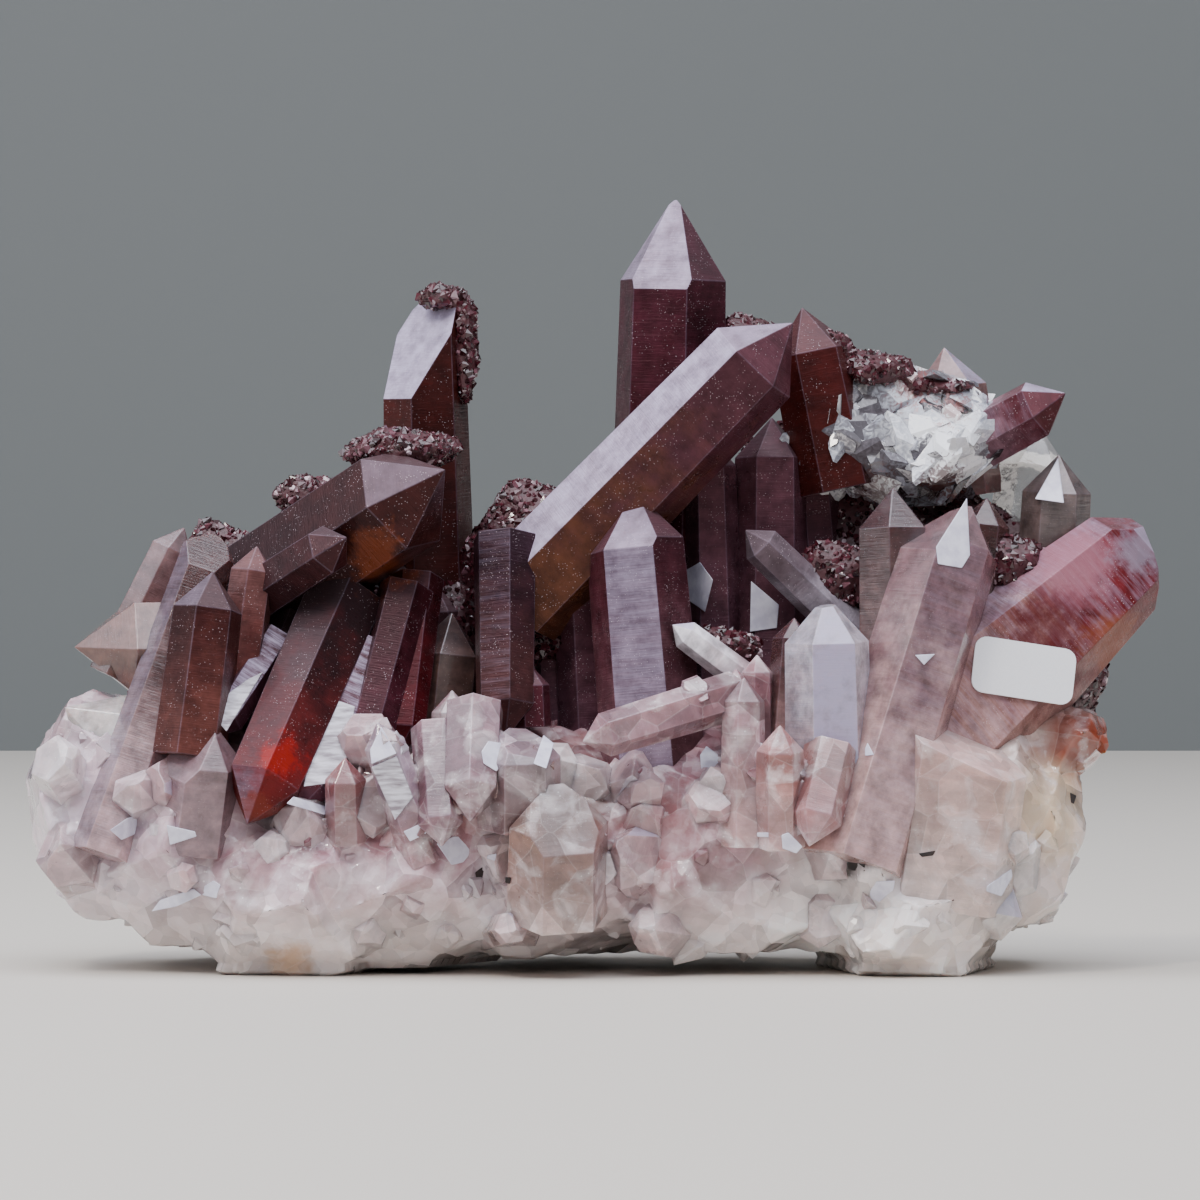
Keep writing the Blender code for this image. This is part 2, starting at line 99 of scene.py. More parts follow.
class Crystal:
    """A quartz crystal from its root to its tip, both given as (across, up, depth).

    width is across its flats and roll turns the first prism face from the eye's side towards the right.
    flat presses the prism thinner from front to back. cuts lowers each pyramid face, in widths,
    starting at the front face and going round by the right. blunt breaks the tip off at that distance,
    with a face turned towards the right and the eye by the two slopes that follow.
    """

    def __init__(
        self, name, tip, root, width, roll=0, flat=1.0, cuts=(0,) * 6,
        lean=PYRAMID_LEAN, taper=PRISM_TAPER, blunt=None, floor=None,
    ):
        self.name = name
        self.tip = seen(*tip)
        self.root = seen(*root)
        self.width = width
        self.roll = roll
        self.flat = flat
        self.cuts = cuts
        self.lean = math.radians(lean)
        self.taper = math.radians(taper)
        self.blunt = blunt
        self.floor = floor

    def directions(self):
        """Unit vectors along the crystal, to its front and to its right."""
        axis = (self.tip - self.root).normalized()
        front = Vector((0, -1, 0)) if abs(axis.y) < END_ON else Vector((0, 0, 1))
        front = (front - axis * front.dot(axis)).normalized()
        return axis, front, axis.cross(front)

    def planes(self, grow=0.0):
        """The crystal's faces as (point, outward normal), moved out by grow."""
        axis, front, right = self.directions()
        faces = [(self.root - axis * grow, -axis)]
        pyramid = self.width / 2 * math.tan(self.lean)
        for k in range(6):
            turn = math.radians(self.roll + 60 * k)
            side = front * math.cos(turn) + right * math.sin(turn)
            reach = self.width / 2 * math.hypot(self.flat * math.cos(turn), math.sin(turn))
            prism = side * math.cos(self.taper) + axis * math.sin(self.taper)
            faces.append((self.tip - axis * pyramid + side * reach + prism * grow, prism))
            slope = side * math.sin(self.lean) + axis * math.cos(self.lean)
            faces.append((self.tip - axis * self.cuts[k] * self.width + slope * grow, slope))
        if self.blunt:
            distance, to_right, to_eye = self.blunt
            broken = (axis + right * to_right + front * to_eye).normalized()
            faces.append((self.tip - axis * distance + broken * grow, broken))
        if self.floor is not None:
            faces.append((Vector((self.root.x, self.root.y, self.floor - grow)), Vector((0, 0, -1))))
        return faces


class Chunk:
    """A broken lump of matrix: an ellipsoid whittled flat by random planes, cut level at its floor."""

    def __init__(self, name, centre, half, floor, seed, faces=16):
        self.name = name
        self.centre = Vector(centre) - Vector((0, 0, SETTLE))
        self.half = Vector(half)
        self.floor = floor
        self.seed = seed
        self.faces = faces

    def planes(self, grow=0.0):
        """The lump's faces as (point, outward normal), moved out by grow."""
        rng = random.Random(self.seed)
        found = [(Vector((self.centre.x, self.centre.y, self.floor - grow)), Vector((0, 0, -1)))]
        golden = math.pi * (3 - math.sqrt(5))
        for k in range(self.faces):
            height = 1 - 2 * (k + 0.5) / self.faces
            turn = golden * k + rng.uniform(-0.25, 0.25)
            ring = math.sqrt(1 - height * height)
            way = Vector((ring * math.cos(turn), ring * math.sin(turn), height))
            reach = Vector((way.x * self.half.x, way.y * self.half.y, way.z * self.half.z))
            normal = Vector((way.x / self.half.x, way.y / self.half.y, way.z / self.half.z)).normalized()
            found.append((self.centre + reach * rng.uniform(0.86, 1.0) + normal * grow, normal))
        return found


# %% The planes cut out of a block
def convex(planes, reach=400.0):
    """The convex solid inside the planes, as a bmesh in millimetres."""
    solid = bmesh.new()
    middle = sum((point for point, _ in planes), Vector()) / len(planes)
    bmesh.ops.create_cube(solid, size=2 * reach, matrix=Matrix.Translation(middle))
    for point, normal in planes:
        everything = solid.verts[:] + solid.edges[:] + solid.faces[:]
        cut = bmesh.ops.bisect_plane(
            solid, geom=everything, dist=1e-5, plane_co=point, plane_no=normal, clear_outer=True
        )
        rim = [item for item in cut["geom_cut"] if isinstance(item, bmesh.types.BMEdge)]
        open_rim = [edge for edge in rim if len(edge.link_faces) == 1]
        if open_rim:
            bmesh.ops.contextual_create(solid, geom=open_rim)
    corners = [vertex.co.copy() for vertex in solid.verts]
    solid.clear()
    for corner in corners:
        solid.verts.new(corner)
    bmesh.ops.remove_doubles(solid, verts=solid.verts[:], dist=2e-3)
    hull = bmesh.ops.convex_hull(solid, input=solid.verts[:])
    unused = hull["geom_interior"] + hull["geom_unused"]
    loose = [item for item in unused if isinstance(item, bmesh.types.BMVert)]
    bmesh.ops.delete(solid, geom=list(set(loose)), context="VERTS")
    bmesh.ops.dissolve_limit(
        solid, angle_limit=math.radians(0.2), verts=solid.verts[:], edges=solid.edges[:], delimit=set()
    )
    bmesh.ops.recalc_face_normals(solid, faces=solid.faces[:])
    return solid


# %% [markdown]
# ## The crystals of this specimen
# Each row is one crystal: its tip, its root, its width across the flats and how it is turned.

# %% The tables
# Crystals of the left side, from the back to the front.
LEFT = [
    Crystal("pale_left", (-102.6, 66, -8), (-70, 66, -2), 18, roll=28),
    Crystal("white_left", (-104.5, 54, -14), (-82, 40, -6), 15, roll=10),
    Crystal("short_upper_left", (-80.5, 90, -4), (-95, 60, -6), 8, roll=20),
    Crystal("long_left", (-73.5, 91, -8), (-97, 24, -24), 9.5, cuts=(0.5, 0.1, 0, 0, 0, 0)),
    Crystal("stout_left", (-74.8, 81.2, -22), (-79.5, 44, -26), 12, roll=14),
    Crystal("small_left", (-66, 86.3, -16), (-70, 58, -18), 8, roll=20),
    Crystal("big_upper", (-28.3, 101.5, -26), (-66, 76, 4), 20, roll=20),
    Crystal("beside_big", (-48, 88, -28), (-68, 75, -10), 9, roll=30),
    Crystal("hanging_red", (-68, 30.5, -35), (-48, 76, -10), 14, roll=34),
    Crystal("bright_striped", (-75, 48, -26), (-62, 68, -14), 7),
    Crystal("striped", (-58, 33, -31), (-43, 66, -14), 8.5),
    Crystal("violet_prism", (-46.5, 38, -26), (-36, 78, -12), 8.5, roll=10),
    Crystal("red_prism", (-38, 44, -20), (-34, 80, -8), 8.5),
    Crystal("grey_violet", (-75.5, 52, -30), (-79, 26, -24), 14, roll=12, cuts=(0, 0, 0, 0, 0, 0.2)),
    Crystal("upper_block", (-55, 84, -2), (-58, 44, 0), 26, roll=10),
]

# The tall crystal that stands behind them.
TALL_LEFT = [
    Crystal("tall_left", (-33, 146, 8), (-31, 60, 12), 14.5, roll=12, cuts=(0, 0, 0, 0, 0, 1.2), lean=60),
]

# The middle: dark columns, the great slanting crystal over them and the tallest one behind it.
CENTRE = [
    Crystal("grey_column", (-31, 80, 4), (-29, 36, 4), 11),
    Crystal("pale_column", (-27, 73, -6), (-30, 44, -6), 13, roll=20),
    Crystal("hanging_column", (-16.4, 47.5, -20), (-16.5, 88, -8), 10.5, roll=20),
    Crystal("small_beside_it", (-11.4, 62.6, -16), (-11, 50, -16), 6.5, roll=10),
    Crystal("back_column_one", (-7.8, 80, 6), (-5, 40, 4), 9),
    Crystal("back_column_two", (-1.4, 86, 0), (1, 40, 0), 10, roll=10),
    Crystal("front_column", (8.6, 98, -12), (13.6, 40, -16), 17, roll=-10, cuts=(0.1, 0, 0, 0, 0, 0.1)),
    Crystal("behind_front_column", (24.5, 108, 3), (26, 48, 3), 9),
    Crystal("streaked_column", (37, 112, 6), (36.8, 52, 4), 13, roll=4),
    Crystal("side_column", (45, 106, 9), (49, 56, 8), 8.5),
    Crystal("slanting_small", (31.6, 89.5, -12), (56, 66, -6), 7, roll=-10),
    Crystal("white_blade", (17, 70.5, -22), (33, 58.5, -18), 5.2),
    Crystal("great_slanting", (41.2, 130.9, -12), (-14, 74.5, -2), 17.4, roll=7),
    Crystal("tallest", (17.6, 156.4, 12), (15.8, 78, 14), 19.2, roll=-16, lean=61, cuts=(0.1, 0, 0, 0, 0, 0)),
    Crystal("dark_red", (43, 134, 4), (50.5, 97.5, 4), 14.5, roll=5),
]

# The right side: smoky and clear crystals, and the great red one that carries the label.
RIGHT = [
    Crystal("smoky_front", (61.2, 98, -12), (62, 60, -14), 13, roll=20),
    Crystal("red_behind_it", (80, 96, -4), (76, 60, -6), 9),
    Crystal("long_leaning", (76, 96.4, -14), (53.5, 22, -30), 17.4, roll=12, cuts=(0, 0, 0, 0, 0, 0.2)),
    Crystal("grey_front", (47.8, 76.5, -28), (48.6, 34, -26), 14.5, roll=8, blunt=(2.2, -0.1, 0.1)),
    Crystal("beside_grey", (41.5, 72, -20), (39.5, 46, -22), 7),
    Crystal(
        "great_red", (117, 91.6, -2), (62, 43, -12), 20.5, flat=0.72, taper=6.5, blunt=(9, 0.5, -0.2)
    ),
    Crystal("violet_tip", (95.8, 116.8, -2), (76, 106, 6), 10.6, roll=-20),
    Crystal("back_peak", (71.4, 126, 12), (75.6, 96, 12), 13),
    Crystal("clear_side", (94.4, 104.6, 4), (92.4, 70, 6), 12),
]

# The rest of the clear right side: a broken clear mass and the pale crystal that stands behind it.
CLEAR = [
    Chunk("broken_clear", (63, 6, 109.5), (21, 13, 13), 94, 31, faces=26),
    Crystal("clear_back", (90.6, 110, 14), (84.6, 66, 12), 13),
]

# Drusy dark rock that joins the crystals behind, and crusts of small crystals along their edges.
CRUSTS = [
    Chunk("back_left", (-66, 12, 60), (26, 16, 30), 30, 41),
    Chunk("back_mid_left", (-34, 14, 58), (24, 16, 34), 30, 42),
    Chunk("saddle", (-10, 8, 79), (17, 14, 21), 40, 43, faces=26),
    Chunk("back_middle", (16, 17, 66), (28, 15, 40), 30, 44),
    Chunk("back_right", (50, 16, 68), (30, 15, 44), 30, 45),
    Chunk("back_far_right", (82, 12, 62), (20, 14, 34), 30, 46),
    Chunk("crust_tall_side", (-24.6, 8, 126), (3.4, 5, 13), 112, 51),
    Chunk("crust_tall_top", (-29, 9, 136.5), (6, 7, 3.6), 131, 52),
    Chunk("crust_big_upper", (-37, -8, 105), (13, 10, 5), 99, 53),
    Chunk("crust_big_back", (-53, -1, 96), (11, 8, 5), 88, 54),
    Chunk("crust_dark_red", (48, 4, 126), (6.5, 6, 4.5), 119, 55),
    Chunk("crust_over_clear", (58, 5, 121.5), (9, 9, 4.5), 114, 60),
    Chunk("crust_behind_peak", (32, 16, 128), (8, 8, 6), 116, 56),
    Chunk("crust_slanting", (49, -7, 80), (10, 5, 8), 68, 57),
    Chunk("crust_blade", (27, -14, 66), (9, 6, 5), 58, 58),
    Chunk("crust_right", (84, -4, 82), (9, 7, 7), 70, 59),
    Chunk("crust_clear_top", (70, 4, 118), (9, 6, 2.8), 113, 61),
]

# Crystals that stand out of the front of the matrix.
STUBS = [
    Crystal("red_tipped", (-48.4, 44, -34), (-48, 27, -30), 7),
    Crystal("banded", (-42, 51, -38), (-32.5, 23, -33), 7),
    Crystal("violet_hanging", (-29, 26, -41), (-30.5, 50, -30), 7.6),
    Crystal("mauve_hanging", (-23.4, 31, -42), (-22.4, 54, -30), 10, roll=34),
    Crystal("little_grey", (-27, 57.5, -22), (-27, 44, -22), 7),
    Crystal("striped_block", (-13.5, 53, -36), (-13.5, 30, -32), 14, roll=10, blunt=(5, 0.2, 0.4)),
    Crystal("lying", (-1, 47, -40), (30, 56.5, -28), 7.6),
    Crystal("tan_broken", (-5.5, 41, -42), (-6, 12, -32), 17, roll=14, blunt=(6, 0.2, 0.9)),
    Crystal("pink_column", (31.4, 60, -32), (31, 26, -32), 7.4, roll=14),
    Crystal("tip_one", (29.8, 61.8, -26), (30, 46, -26), 5),
    Crystal("tip_two", (34, 64.6, -24), (34, 46, -24), 5.6, roll=20),
    Crystal("orange_prism", (38.6, 50.5, -38), (38.6, 26, -34), 8),
    Crystal("red_hanging", (44.4, 26, -40), (49, 46, -32), 9),
    Crystal("pink_block", (78, 63, -30), (71, 14, -26), 24, flat=0.6, blunt=(17, 0.3, 0.3)),
]
STUB_FLOOR = 4.0
for stub in STUBS:
    stub.floor = STUB_FLOOR

# Crystals on the far side, which the visible ones suggest.
BACK = [
    Crystal("back_one", (-84, 70, 30), (-76, 34, 12), 13, roll=10),
    Crystal("back_two", (-58, 92, 26), (-54, 46, 12), 15, roll=25),
    Crystal("back_three", (-34, 84, 36), (-30, 42, 16), 12, roll=5),
    Crystal("back_four", (-8, 84, 36), (-10, 42, 12), 15, roll=12),
    Crystal("back_five", (16, 99, 36), (14, 46, 14), 17, roll=20),
    Crystal("back_six", (42, 106, 32), (38, 50, 14), 14),
    Crystal("back_seven", (64, 94, 34), (60, 44, 14), 15, roll=8),
    Crystal("back_eight", (86, 80, 30), (78, 40, 12), 13, roll=22),
    Crystal("back_nine", (2, 62, 42), (4, 34, 18), 11),
    Crystal("back_ten", (-60, 60, 40), (-58, 34, 18), 12, roll=15),
    Crystal("back_eleven", (50, 64, 42), (48, 34, 18), 12, roll=15),
]

# Small crystals all over the matrix, how many and between which widths.
STUB_COUNT = 86
STUB_WIDTHS = (5.0, 13.0)


def stubs():
    """Small crystals that stand out of the matrix all round, more in front than behind."""
    rng = random.Random(SEED)
    found = []
    for k in range(STUB_COUNT):
        across = rng.uniform(-104, 92)
        side = -1 if rng.random() < 0.6 else 1
        body = 33 - 12 * abs((across + 4) / 106) ** 4
        low, high = (7, 40) if abs(across) < 85 else (16, 44)
        up = rng.uniform(low, high)
        width = rng.uniform(*STUB_WIDTHS)
        root = (across, up, side * (body - 20))
        tip = (across + rng.uniform(-9, 9), up + rng.uniform(-3, 13), side * (body + rng.uniform(0, 7)))
        blunt = (width * rng.uniform(0.1, 0.6), rng.uniform(-0.5, 0.5), rng.uniform(-0.5, 0.5))
        crystal = Crystal(
            f"stub_{k:02d}", tip, root, width, roll=rng.uniform(0, 60),
            cuts=[rng.choice((0, 0, 0.2)) for _ in range(6)],
            blunt=blunt if rng.random() < 0.5 else None, floor=2.6 + 0.11 * (k % 19),
        )
        found.append(crystal)
    return found


every = LEFT + TALL_LEFT + CENTRE + RIGHT + BACK
print("placed by hand:", len(every + CLEAR + CRUSTS + STUBS))

# %% [markdown]
# ## Colours and nodes
# A colour is written as it looks on a screen, and Blender reckons in linear light, so one function turns it.
# Another adds a shader node with its settings and links in one call, and the rest are short names for the
# kinds of node that come again and again.

# %% Helpers for objects, colours and nodes
# How strongly quartz bends light.
QUARTZ_IOR = 1.54


def placed(name, data):
    """A new object of the scene with that data."""
    made = bpy.data.objects.new(name, data)
    bpy.context.scene.collection.objects.link(made)
    return made


def tint(text):
    """An sRGB hex colour as linear numbers with alpha 1."""
    parts = [int(text[k:k + 2], 16) / 255 for k in (1, 3, 5)]
    return tuple(v / 12.92 if v <= 0.04045 else ((v + 0.055) / 1.055) ** 2.4 for v in parts) + (1.0,)


def add(tree, kind, settings=None, inputs=None):
    """A node of that kind. An input is a plain value, or another node's output to link from."""
    node = tree.nodes.new(kind)
    for name, value in (settings or {}).items():
        setattr(node, name, value)
    for name, value in (inputs or {}).items():
        if isinstance(value, bpy.types.NodeSocket):
            tree.links.new(value, node.inputs[name])
        else:
            node.inputs[name].default_value = value
    return node


def blank_material(name):
    """A new material and its tree, which has only the output."""
    material = bpy.data.materials.new(name)
    material.use_nodes = True
    material.node_tree.nodes.clear()
    material.node_tree.nodes.new("ShaderNodeOutputMaterial")
    return material, material.node_tree


def joined(tree, shader, socket):
    """Links a shader node to the tree's output."""
    tree.links.new(shader.outputs[0], tree.nodes["Material Output"].inputs[socket])


def finished(material, inputs):
    """The material with a Principled shader of those inputs as its surface."""
    tree = material.node_tree
    joined(tree, add(tree, "ShaderNodeBsdfPrincipled", {}, inputs), "Surface")
    return material


def stored(tree, name, socket="Fac"):
    """What the mesh stores under that name."""
    return add(tree, "ShaderNodeAttribute", {"attribute_name": name}).outputs[socket]


def on_object(tree):
    """The place on the object, in metres."""
    return add(tree, "ShaderNodeTexCoord").outputs["Object"]


def stretched(tree, place, scale, **more):
    """The place, scaled by that much along each axis."""
    return add(tree, "ShaderNodeMapping", {}, {"Vector": place, "Scale": scale, **more}).outputs[0]


def noisy(tree, place, scale, detail, **more):
    """Noise, with its roughness or distortion if they are given."""
    inputs = {"Vector": place, "Scale": scale, "Detail": detail, **more}
    return add(tree, "ShaderNodeTexNoise", {}, inputs).outputs["Fac"]


def cells_of(tree, place, scale, feature="F1"):
    """The outputs of a texture of cells."""
    return add(tree, "ShaderNodeTexVoronoi", {"feature": feature}, {"Vector": place, "Scale": scale}).outputs


def reckon(tree, operation, *values, clamp=False):
    """The values after a sum."""
    settings = {"operation": operation, "use_clamp": clamp}
    return add(tree, "ShaderNodeMath", settings, dict(enumerate(values))).outputs[0]


def vector(tree, operation, *values, output=0):
    """The vectors after a sum."""
    inputs = dict(enumerate(values))
    return add(tree, "ShaderNodeVectorMath", {"operation": operation}, inputs).outputs[output]


def moved(tree, value, start, end, low=0.0, high=1.0, smooth=False):
    """The value, with the range from start to end moved to the one from low to high."""
    settings = {"interpolation_type": "SMOOTHSTEP" if smooth else "LINEAR"}
    inputs = {"Value": value, "From Min": start, "From Max": end, "To Min": low, "To Max": high}
    return add(tree, "ShaderNodeMapRange", settings, inputs).outputs[0]


def blend(tree, amount, under, over):
    """A colour with another laid over it by that amount."""
    inputs = {"Factor": amount, "A": under, "B": tint(over) if isinstance(over, str) else over}
    return add(tree, "ShaderNodeMix", {"data_type": "RGBA"}, inputs).outputs["Result"]


def scaled(tree, colour, amount):
    """The colour times an amount."""
    return add(tree, "ShaderNodeVectorMath", {"operation": "SCALE"}, {0: colour, "Scale": amount}).outputs[0]


def ramp_of(tree, value, *stops):
    """The value as a colour, by way of stops that are each a value and a colour."""
    ramp = add(tree, "ShaderNodeValToRGB", {}, {"Fac": value})
    elements = ramp.color_ramp.elements
    for k in (0, -1):
        elements[k].position, elements[k].color = stops[k][0], tint(stops[k][1])
    for at, colour in stops[1:-1]:
        elements.new(at).color = tint(colour)
    return ramp.outputs[0]


def bumped(tree, height, strength, distance, **more):
    """The normal of a surface that has that height."""
    inputs = {"Strength": strength, "Distance": distance, "Height": height, **more}
    return add(tree, "ShaderNodeBump", {}, inputs).outputs[0]


# %% [markdown]
# ## Crystals into meshes
# The edges get a narrow bevel, because real ones are never razor sharp and the light catches on them.
# Every vertex remembers where it is in its own crystal, in millimetres across and along it. The growth lines
# are drawn in that space, so they cross each crystal squarely however it leans. It also keeps the crystal's
# two colours, since iron gathers near the tips and the roots are often paler.

# %% Growing a mesh
# Worn edges are a little frosted, and crystals lie this many millimetres apart in the growth lines' space.
WORN_FROST = 0.05
APART = 17


def axis_frame(piece):
    """The piece's root, axis, front and right directions, and its length."""
    if isinstance(piece, Chunk):
        return piece.centre, Vector((0, 0, 1)), Vector((0, -1, 0)), Vector((1, 0, 0)), 2 * piece.half.z
    axis, front, right = piece.directions()
    return piece.root, axis, front, right, (piece.tip - piece.root).length


def grow_mesh(name, pieces, colours, default, edge=0.18, grow=0.0, frost_sheen_faces=None):
    """One mesh of the pieces, with their space and colours on vertices, shade and frosting with painted sheen
    on faces.

    The last argument gives, for a piece, the ways its pale faces look, how pale each is and how striped:
    frosted faces that are mostly painted reflections of the sky, and painted glints.
    """
    rng = random.Random(name)
    vertices, faces = [], []
    on_faces = {"shade": [], "frost": [], "stripe": []}
    grown, span, tips, roots = [], [], [], []
    for number, piece in enumerate(pieces):
        solid = convex(piece.planes(grow))
        shade, frost, stripe = [solid.faces.layers.float.new(kind) for kind in on_faces]
        solid.normal_update()
        for face in solid.faces:
            face[shade] = rng.random()
        for *way, amount, striped in (frost_sheen_faces or {}).get(piece.name, ()):
            best = max(solid.faces, key=lambda face: face.normal.dot(Vector(way).normalized()))
            best[frost], best[stripe] = amount, striped
        worn = bmesh.ops.bevel(
            solid, geom=solid.edges[:] + solid.verts[:], offset=edge, segments=2, profile=0.6,
            affect="EDGES", clamp_overlap=True,
        )
        for face in worn["faces"]:
            face[frost] = max(face[frost], WORN_FROST)
        base = len(vertices)
        root, axis, front, right, length = axis_frame(piece)
        tip_colour, root_colour = colours.get(piece.name, default)
        for index, vertex in enumerate(solid.verts):
            vertex.index = index
            local = vertex.co - root
            vertices.append((vertex.co + CENTRING) * MM)
            grown.append((local.dot(right) + APART * number, local.dot(front), local.dot(axis)))
            span.append(local.dot(axis) / length)
            tips.append(tint(tip_colour))
            roots.append(tint(root_colour))
        faces.extend([base + vertex.index for vertex in face.verts] for face in solid.faces)
        for kind, layer in zip(on_faces, (shade, frost, stripe)):
            on_faces[kind].extend(face[layer] for face in solid.faces)
        solid.free()
    mesh = bpy.data.meshes.new(name)
    mesh.from_pydata([tuple(v) for v in vertices], [], faces)
    for kind, values in on_faces.items():
        mesh.attributes.new(kind, "FLOAT", "FACE").data.foreach_set("value", values)
    mesh.attributes.new("grown", "FLOAT_VECTOR", "POINT").data.foreach_set("vector", np.ravel(grown))
    mesh.attributes.new("span", "FLOAT", "POINT").data.foreach_set("value", span)
    mesh.attributes.new("tip_tint", "FLOAT_COLOR", "POINT").data.foreach_set("color", np.ravel(tips))
    mesh.attributes.new("root_tint", "FLOAT_COLOR", "POINT").data.foreach_set("color", np.ravel(roots))
    print(name, "crystals", len(pieces), "faces", len(mesh.polygons))
    return placed(name, mesh)


# %% [markdown]
# ## Iron-red quartz
# The crystals are quartz with fine hematite all through them, so they are nearly opaque: maroon where it is
# thick and rust or wine red where light gets in. Their faces aren't polished. They carry fine growth lines
# straight across, low hillocks and a scatter of tiny pale grains, partly painted sparkle, which makes them
# satin rather than glassy. Faces that look up are painted paler, and chosen frosted faces pale lilac, as
# the sky they mirror. In a few places the iron is brighter, and the glow of light through one hanging
# crystal is painted as a red spot, so those are spots of colour.

# %% The material of the red crystals
# The share of the base's colour that crystals set in it take.
FROM_THE_BASE = 0.4


def quartz_nodes(tree, line_strength, speck_amount, ground=None):
    """Colour, roughness and normal outputs that the crystal materials share.

    ground, if given, returns the colour of the base at a place, and the crystals take part of it.
    """
    grown = stored(tree, "grown", "Vector")
    place = on_object(tree)

    # Clouds of iron about 6 mm across move the border between the two colours.
    clouds = noisy(tree, place, 160.0, 3.0, Roughness=0.6)
    where = reckon(tree, "ADD", reckon(tree, "MULTIPLY_ADD", clouds, 0.9, -0.45), stored(tree, "span"))
    where = moved(tree, where, 0.1, 0.75, smooth=True)
    body = blend(tree, where, stored(tree, "root_tint", "Color"), stored(tree, "tip_tint", "Color"))
    if ground:
        body = blend(tree, FROM_THE_BASE, body, ground(tree, place))

    # Growth zones a few millimetres long run straight across the crystal, and murk hangs in it.
    zones = noisy(tree, stretched(tree, grown, (0.05, 0.05, 0.5)), 1.0, 2.0)
    murk = noisy(tree, place, 230.0, 4.0, Roughness=0.65)
    swing = 0.18 if ground else 0.4
    dim = moved(tree, murk, 0.32, 0.68, 1 - swing, 1 + swing)
    depth = reckon(tree, "MULTIPLY", moved(tree, zones, 0.3, 0.7, 0.88, 1.12), dim)
    shade = moved(tree, stored(tree, "shade"), 0.0, 1.0, 0.8, 1.25)
    body = scaled(tree, body, reckon(tree, "MULTIPLY", depth, shade))

    # Pale grains about 0.2 mm wide lie on the faces in patches, partly as painted sparkle, and faces that
    # look up are a little paler, as a painted reflection of the sky.
    sparkle_grains = reckon(tree, "LESS_THAN", cells_of(tree, place, 1900.0)["Distance"], 0.16)
    patches = moved(tree, noisy(tree, place, 260.0, 2.0), 0.42, 0.62, high=speck_amount)
    body = blend(tree, reckon(tree, "MULTIPLY", sparkle_grains, patches), body, "#e2d2d8")
    # Painted reflection of the sky: faces that look up are blended towards a pale mauve.
    upward_sky_sheen = add(tree, "ShaderNodeNewGeometry").outputs["True Normal"]
    upward_sky_sheen = add(tree, "ShaderNodeSeparateXYZ", {}, {0: upward_sky_sheen})
    body = blend(tree, moved(tree, upward_sky_sheen.outputs["Z"], 0.0, 0.95, high=0.1, smooth=True), body, "#bca3ad")

    # A frosted face is a lilac grey, thinner in places. Most of these faces are painted reflections of the
    # sky, and the worn edges are real frosting. A striped one is pale and dark by turns.
    bands = noisy(tree, stretched(tree, grown, (0.09, 0.09, 1.1)), 1.0, 4.0, Roughness=0.7)
    thin = reckon(tree, "MULTIPLY", stored(tree, "frost"), dim)
    bands = moved(tree, bands, 0.4, 0.62, -0.8, 0.9)
    frost = reckon(tree, "MULTIPLY_ADD", bands, stored(tree, "stripe"), thin, clamp=True)
    body = blend(tree, frost, body, "#c8bfdc")

    # Growth lines about 0.4 mm apart, broken up along their length, and hillocks of 1 mm.
    lines = noisy(tree, stretched(tree, grown, (0.16, 0.16, 2.6)), 1.0, 3.0, Roughness=0.65)
    height = reckon(tree, "MULTIPLY_ADD", noisy(tree, place, 900.0, 1.0), 0.35, lines)
    return body, moved(tree, clouds, 0.3, 0.7, 0.24, 0.44), bumped(tree, height, line_strength, 0.0004)


# %% Spots of colour
# How deep the spots are given, and how far their borders wander, in millimetres.
SPOT_DEPTH = -25
RAGGED = 10


def spotted(tree, place, body, spots, ragged):
    """The body colour with round spots of other colours, whose borders a texture makes ragged."""
    flat = vector(tree, "MULTIPLY", place, (1, 0, 1))
    ragged = reckon(tree, "MULTIPLY", ragged, 2 * RAGGED * MM)
    for across, up, reach, amount, colour in spots.values():
        centre = (seen(across, up, SPOT_DEPTH) + CENTRING) * MM
        centre.y = 0
        away = reckon(tree, "ADD", ragged, vector(tree, "DISTANCE", flat, centre, output="Value"))
        start, end = (1.2 * reach + RAGGED) * MM, (0.3 * reach + RAGGED) * MM
        body = blend(tree, moved(tree, away, start, end, high=amount, smooth=True), body, colour)
    return body


# Where it is, across and up, then how far it reaches, how strong it is, and its colour.
IRON_AND_GLOW_SPOTS = {
    # The glow of light through the hanging crystal, painted as a red spot.
    "painted_red_glow": (-61, 41, 8, 0.55, "#6e0e0c"),
    "red_streak": (-60.4, 44, 4, 0.3, "#c02012"),
    "rust_hanging_tip": (-67, 33.5, 4, 0.5, "#6e2c1c"),
    "rust_big_upper": (-41.5, 83, 6, 0.45, "#84401c"),
    "pink_top": (98, 83, 11, 0.75, "#a06a78"),
    "dark_front": (93, 70, 8, 0.8, "#4a0c10"),
    "glassy_end": (112, 86, 6, 0.7, "#837a8a"),
    "rust_side": (107, 67, 7, 0.75, "#7a3e22"),
}


def red_quartz():
    """Quartz full of hematite: hexagonal, glassy under a satin bloom, IOR 1.54."""
    material, tree = blank_material("hematoid_quartz_satin")
    body, gloss, normal = quartz_nodes(tree, 0.4, 0.5)
    place = on_object(tree)
    body = spotted(tree, place, body, IRON_AND_GLOW_SPOTS, noisy(tree, place, 150.0, 4.0, Roughness=0.7))
    return finished(material, {
        "Base Color": body, "Roughness": gloss, "Normal": normal, "IOR": QUARTZ_IOR,
        "Specular IOR Level": 0.26, "Specular Tint": tint("#d9a9ae"),
        "Coat Weight": 0.06, "Coat Roughness": 0.06,
    })


RED = red_quartz()
print("material:", RED.name)
